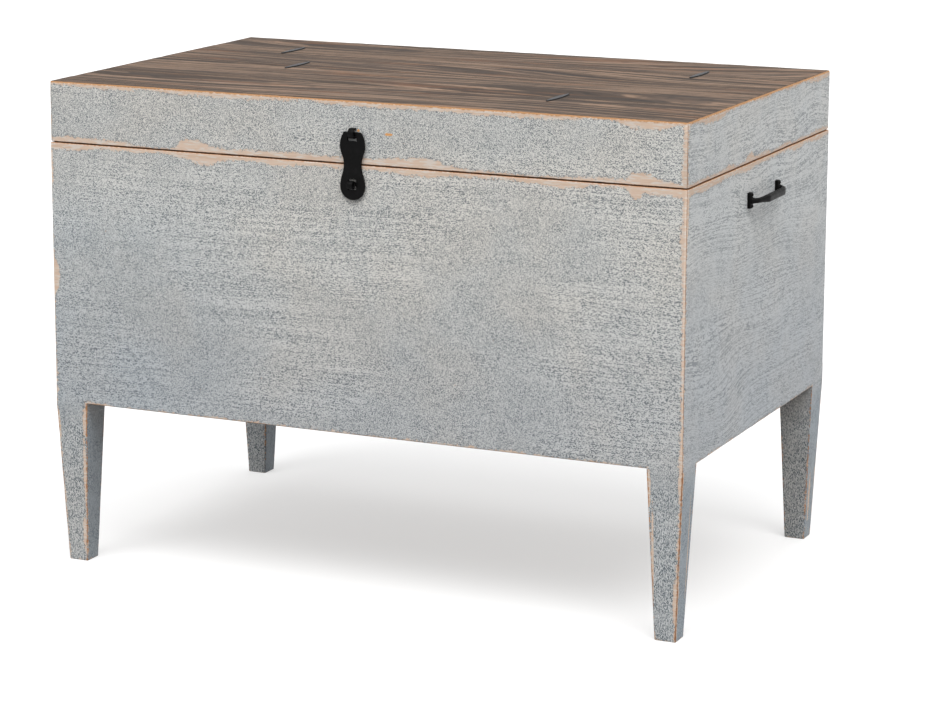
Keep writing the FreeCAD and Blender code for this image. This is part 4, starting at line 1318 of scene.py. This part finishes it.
def growRing(bm, ring, ringEdges):
    # extrudes the open end, and returns the new corners in the order of the old ones
    grown = bmesh.ops.extrude_edge_only(bm, edges=ringEdges)["geom"]
    newVerts = {g for g in grown if isinstance(g, bmesh.types.BMVert)}
    newEdges = [
        g for g in grown if isinstance(g, bmesh.types.BMEdge) and newVerts.issuperset(g.verts)
    ]
    follow = [
        next(e.other_vert(v) for e in v.link_edges if e.other_vert(v) in newVerts) for v in ring
    ]
    return follow, newEdges


def addFoot(bm, along, side):
    thick, wide, high = handle["footSize"]
    outer = side * (halfW + thick)
    lowX, highX = sorted((side * halfW, outer))
    foot = boxMesh(
        (lowX, along - wide / 2, handle["level"] - high / 2),
        (highX, along + wide / 2, handle["level"] + high / 2),
    )
    rim = [e for e in foot.edges if any(abs(v.co.x - outer) < tiny for v in e.verts)]
    roundEdges(foot, rim, handle["footArris"], handle["footSegments"])
    takeIn(bm, foot)


def finishIron(bm, name, nodeName, material):
    bodies = frame["record"]["behaviour"]["bodies"]
    body = next(body for body, names in bodies.items() if nodeName in names)
    placePiece(bm, name, [material], body, [nodeName])


def makeHandle(end, side):
    stations = handleStations()
    stations += [(-s[0], *s[1:]) for s in reversed(stations[:-1])]
    final = len(stations) - 1
    bm = bmesh.new()
    ring = bmesh.ops.create_circle(bm, segments=handle["ringSides"], radius=1)["verts"]
    ringEdges = bm.edges[:]
    bmesh.ops.contextual_create(bm, geom=ringEdges)
    for number, station in enumerate(stations):
        # direction of travel, taken between the two neighbours
        ahead, behind = stations[min(number + 1, final)], stations[max(number - 1, 0)]
        travel = Vector((ahead[1] - behind[1], ahead[0] - behind[0])).normalized()
        placeRing(ring, station, travel, side)
        if number < final:
            ring, ringEdges = growRing(bm, ring, ringEdges)
    bmesh.ops.contextual_create(bm, geom=ringEdges)
    bmesh.ops.recalc_face_normals(bm, faces=bm.faces)
    for along in (-handle["footHalfSpread"], handle["footHalfSpread"]):
        addFoot(bm, along, side)
    smoothSlopes(bm)
    finishIron(bm, f"handlePull_{end}", f"{end}_handle", blackIron)


makeHandle("right", 1)
makeHandle("left", -1)


# Other ironwork: the solids' own forms with softened edges
softEdges = {
    "flatAngle": 0.02,
    "curveAngle": 0.003,
    "sharpAngle": 0.35,
    "segments": 2,
    "doubles": 2e-6,
    "cleat": 0.0005,
    "hasp": 0.0007,
    "loop": 0.0005,
}


def softenedCopy(nodeName, name, amount, material):
    bm = bmesh.new()
    bm.from_mesh(cadNodes[nodeName].data)
    bmesh.ops.remove_doubles(bm, verts=bm.verts, dist=softEdges["doubles"])
    bmesh.ops.dissolve_limit(
        bm,
        angle_limit=softEdges["flatAngle"],
        verts=bm.verts,
        edges=bm.edges,
        use_dissolve_boundaries=False,
    )
    paired = [e for e in bm.edges if len(e.link_faces) == 2]
    sharp = [e for e in paired if e.calc_face_angle() > softEdges["sharpAngle"]]
    rounded = set(roundEdges(bm, sharp, amount, softEdges["segments"])["faces"])
    for face in bm.faces:
        curved = any(
            len(e.link_faces) == 2
            and softEdges["curveAngle"] < e.calc_face_angle() < softEdges["sharpAngle"]
            and not any(other in rounded for other in e.link_faces)
            for e in face.edges
        )
        face.smooth = curved or face in rounded
    finishIron(bm, name, nodeName, material)


for nodeName in cleatNames:
    cleat = "cleatPlate_" + nodeName.removesuffix("_cleat")
    softenedCopy(nodeName, cleat, softEdges["cleat"], cleatIron)
softenedCopy("hasp_plate", "haspPlate", softEdges["hasp"], blackIron)
softenedCopy("hasp_lid_staple", "haspStaple", softEdges["loop"], blackIron)
softenedCopy("padlock_eye", "padlockLoop", softEdges["loop"], blackIron)


# Finishes of the solids that stay as they are
def dressNode(name, material):
    node = cadNodes[name]
    for index in range(len(node.material_slots)):
        node.material_slots[index].link = "OBJECT"
        node.material_slots[index].material = material


for name in cadNodes:
    if name == "bottom_panel":
        dressNode(name, rawAcross)
    elif "batten" in name and not name.endswith("nails"):
        dressNode(name, rawDeep)
    elif name.split("_")[-1] in ("leaf", "pin", "nails", "bracket", "arm"):
        dressNode(name, blackIron)
print("stage 7: ironwork made and solids dressed")


# Studio: a white floor, a soft sky and three wide suns
studio = {
    "skyHorizon": 0.42,
    "skyZenith": 0.95,
    # strength, and degrees of elevation, azimuth and spread: 0 is in front, 90 at the right end
    "leftSun": (0.46, 56.0, -14.0, 34.0),
    "rightSun": (0.52, 56.0, 50.0, 34.0),
    "backSun": (0.08, 66.0, 170.0, 24.0),
    "floorSize": 20,
    "floorGlow": 0.53,
    "floorSeen": 1.0,
    "floorBounce": 0.22,
}


def makeSun(name, strength, elevation, azimuth, spread):
    data = bpy.data.lights.new(name, "SUN")
    data.energy = strength * math.pi  # strength 1 lights a facing white card to white
    data.angle = math.radians(spread)
    lamp = addObject(name, data)
    up, side = math.radians(elevation), math.radians(azimuth)
    level = math.cos(up)
    source = Vector((math.sin(side) * level, -math.cos(side) * level, math.sin(up)))
    lamp.rotation_mode = "QUATERNION"
    lamp.rotation_quaternion = source.to_track_quat("Z", "Y")
    lamp.location = source * 4


def emptyTree(owner):
    owner.use_nodes = True
    owner.node_tree.nodes.clear()
    return owner.node_tree


def seenDirectly(tree):
    # 1 for rays from the camera and for mirror images in metal and glass
    path = addNode(tree, "LightPath").outputs
    return largest(path["Is Camera Ray"], path["Is Glossy Ray"], path["Is Transmission Ray"])


def makeSky():
    # an even glow that grows towards the zenith
    world = bpy.data.worlds.new("softStudio")
    bpy.context.scene.world = world
    tree = emptyTree(world)
    height = splitVector(addNode(tree, "TexCoord").outputs["Generated"])[2]
    rise = times(largest(height, 0.0), studio["skyZenith"] - studio["skyHorizon"])
    glow = plus(rise, studio["skyHorizon"])
    light = addNode(tree, "Background", {"Color": white, "Strength": glow})
    seen = addNode(tree, "Background", {"Color": white, "Strength": 1.0})
    blend = mixShaders(seenDirectly(tree), light.outputs[0], seen.outputs[0])
    addNode(tree, "OutputWorld", {0: blend})


def makeFloor():
    bm = bmesh.new()
    bmesh.ops.create_grid(bm, x_segments=1, y_segments=1, size=studio["floorSize"])
    material = bpy.data.materials.new("studioFloor")
    tree = emptyTree(material)
    direct = seenDirectly(tree)
    tone = mixColour(direct, plainGrey(studio["floorBounce"]), plainGrey(studio["floorSeen"]))
    paper = addNode(tree, "BsdfDiffuse", {"Color": tone})
    glow = addNode(tree, "Emission", {"Color": white, "Strength": 1.0})
    share = times(direct, studio["floorGlow"])
    addNode(tree, "OutputMaterial", {0: mixShaders(share, paper.outputs[0], glow.outputs[0])})
    floor = addObject("studioFloor", meshFrom(bm, "studioFloor", [material]))


makeCamera()
makeSky()
for name in ("leftSun", "rightSun", "backSun"):
    makeSun(name, *studio[name])
makeFloor()
bpy.context.scene.view_settings.view_transform = "Standard"
print("stage 8: camera, light and floor set")
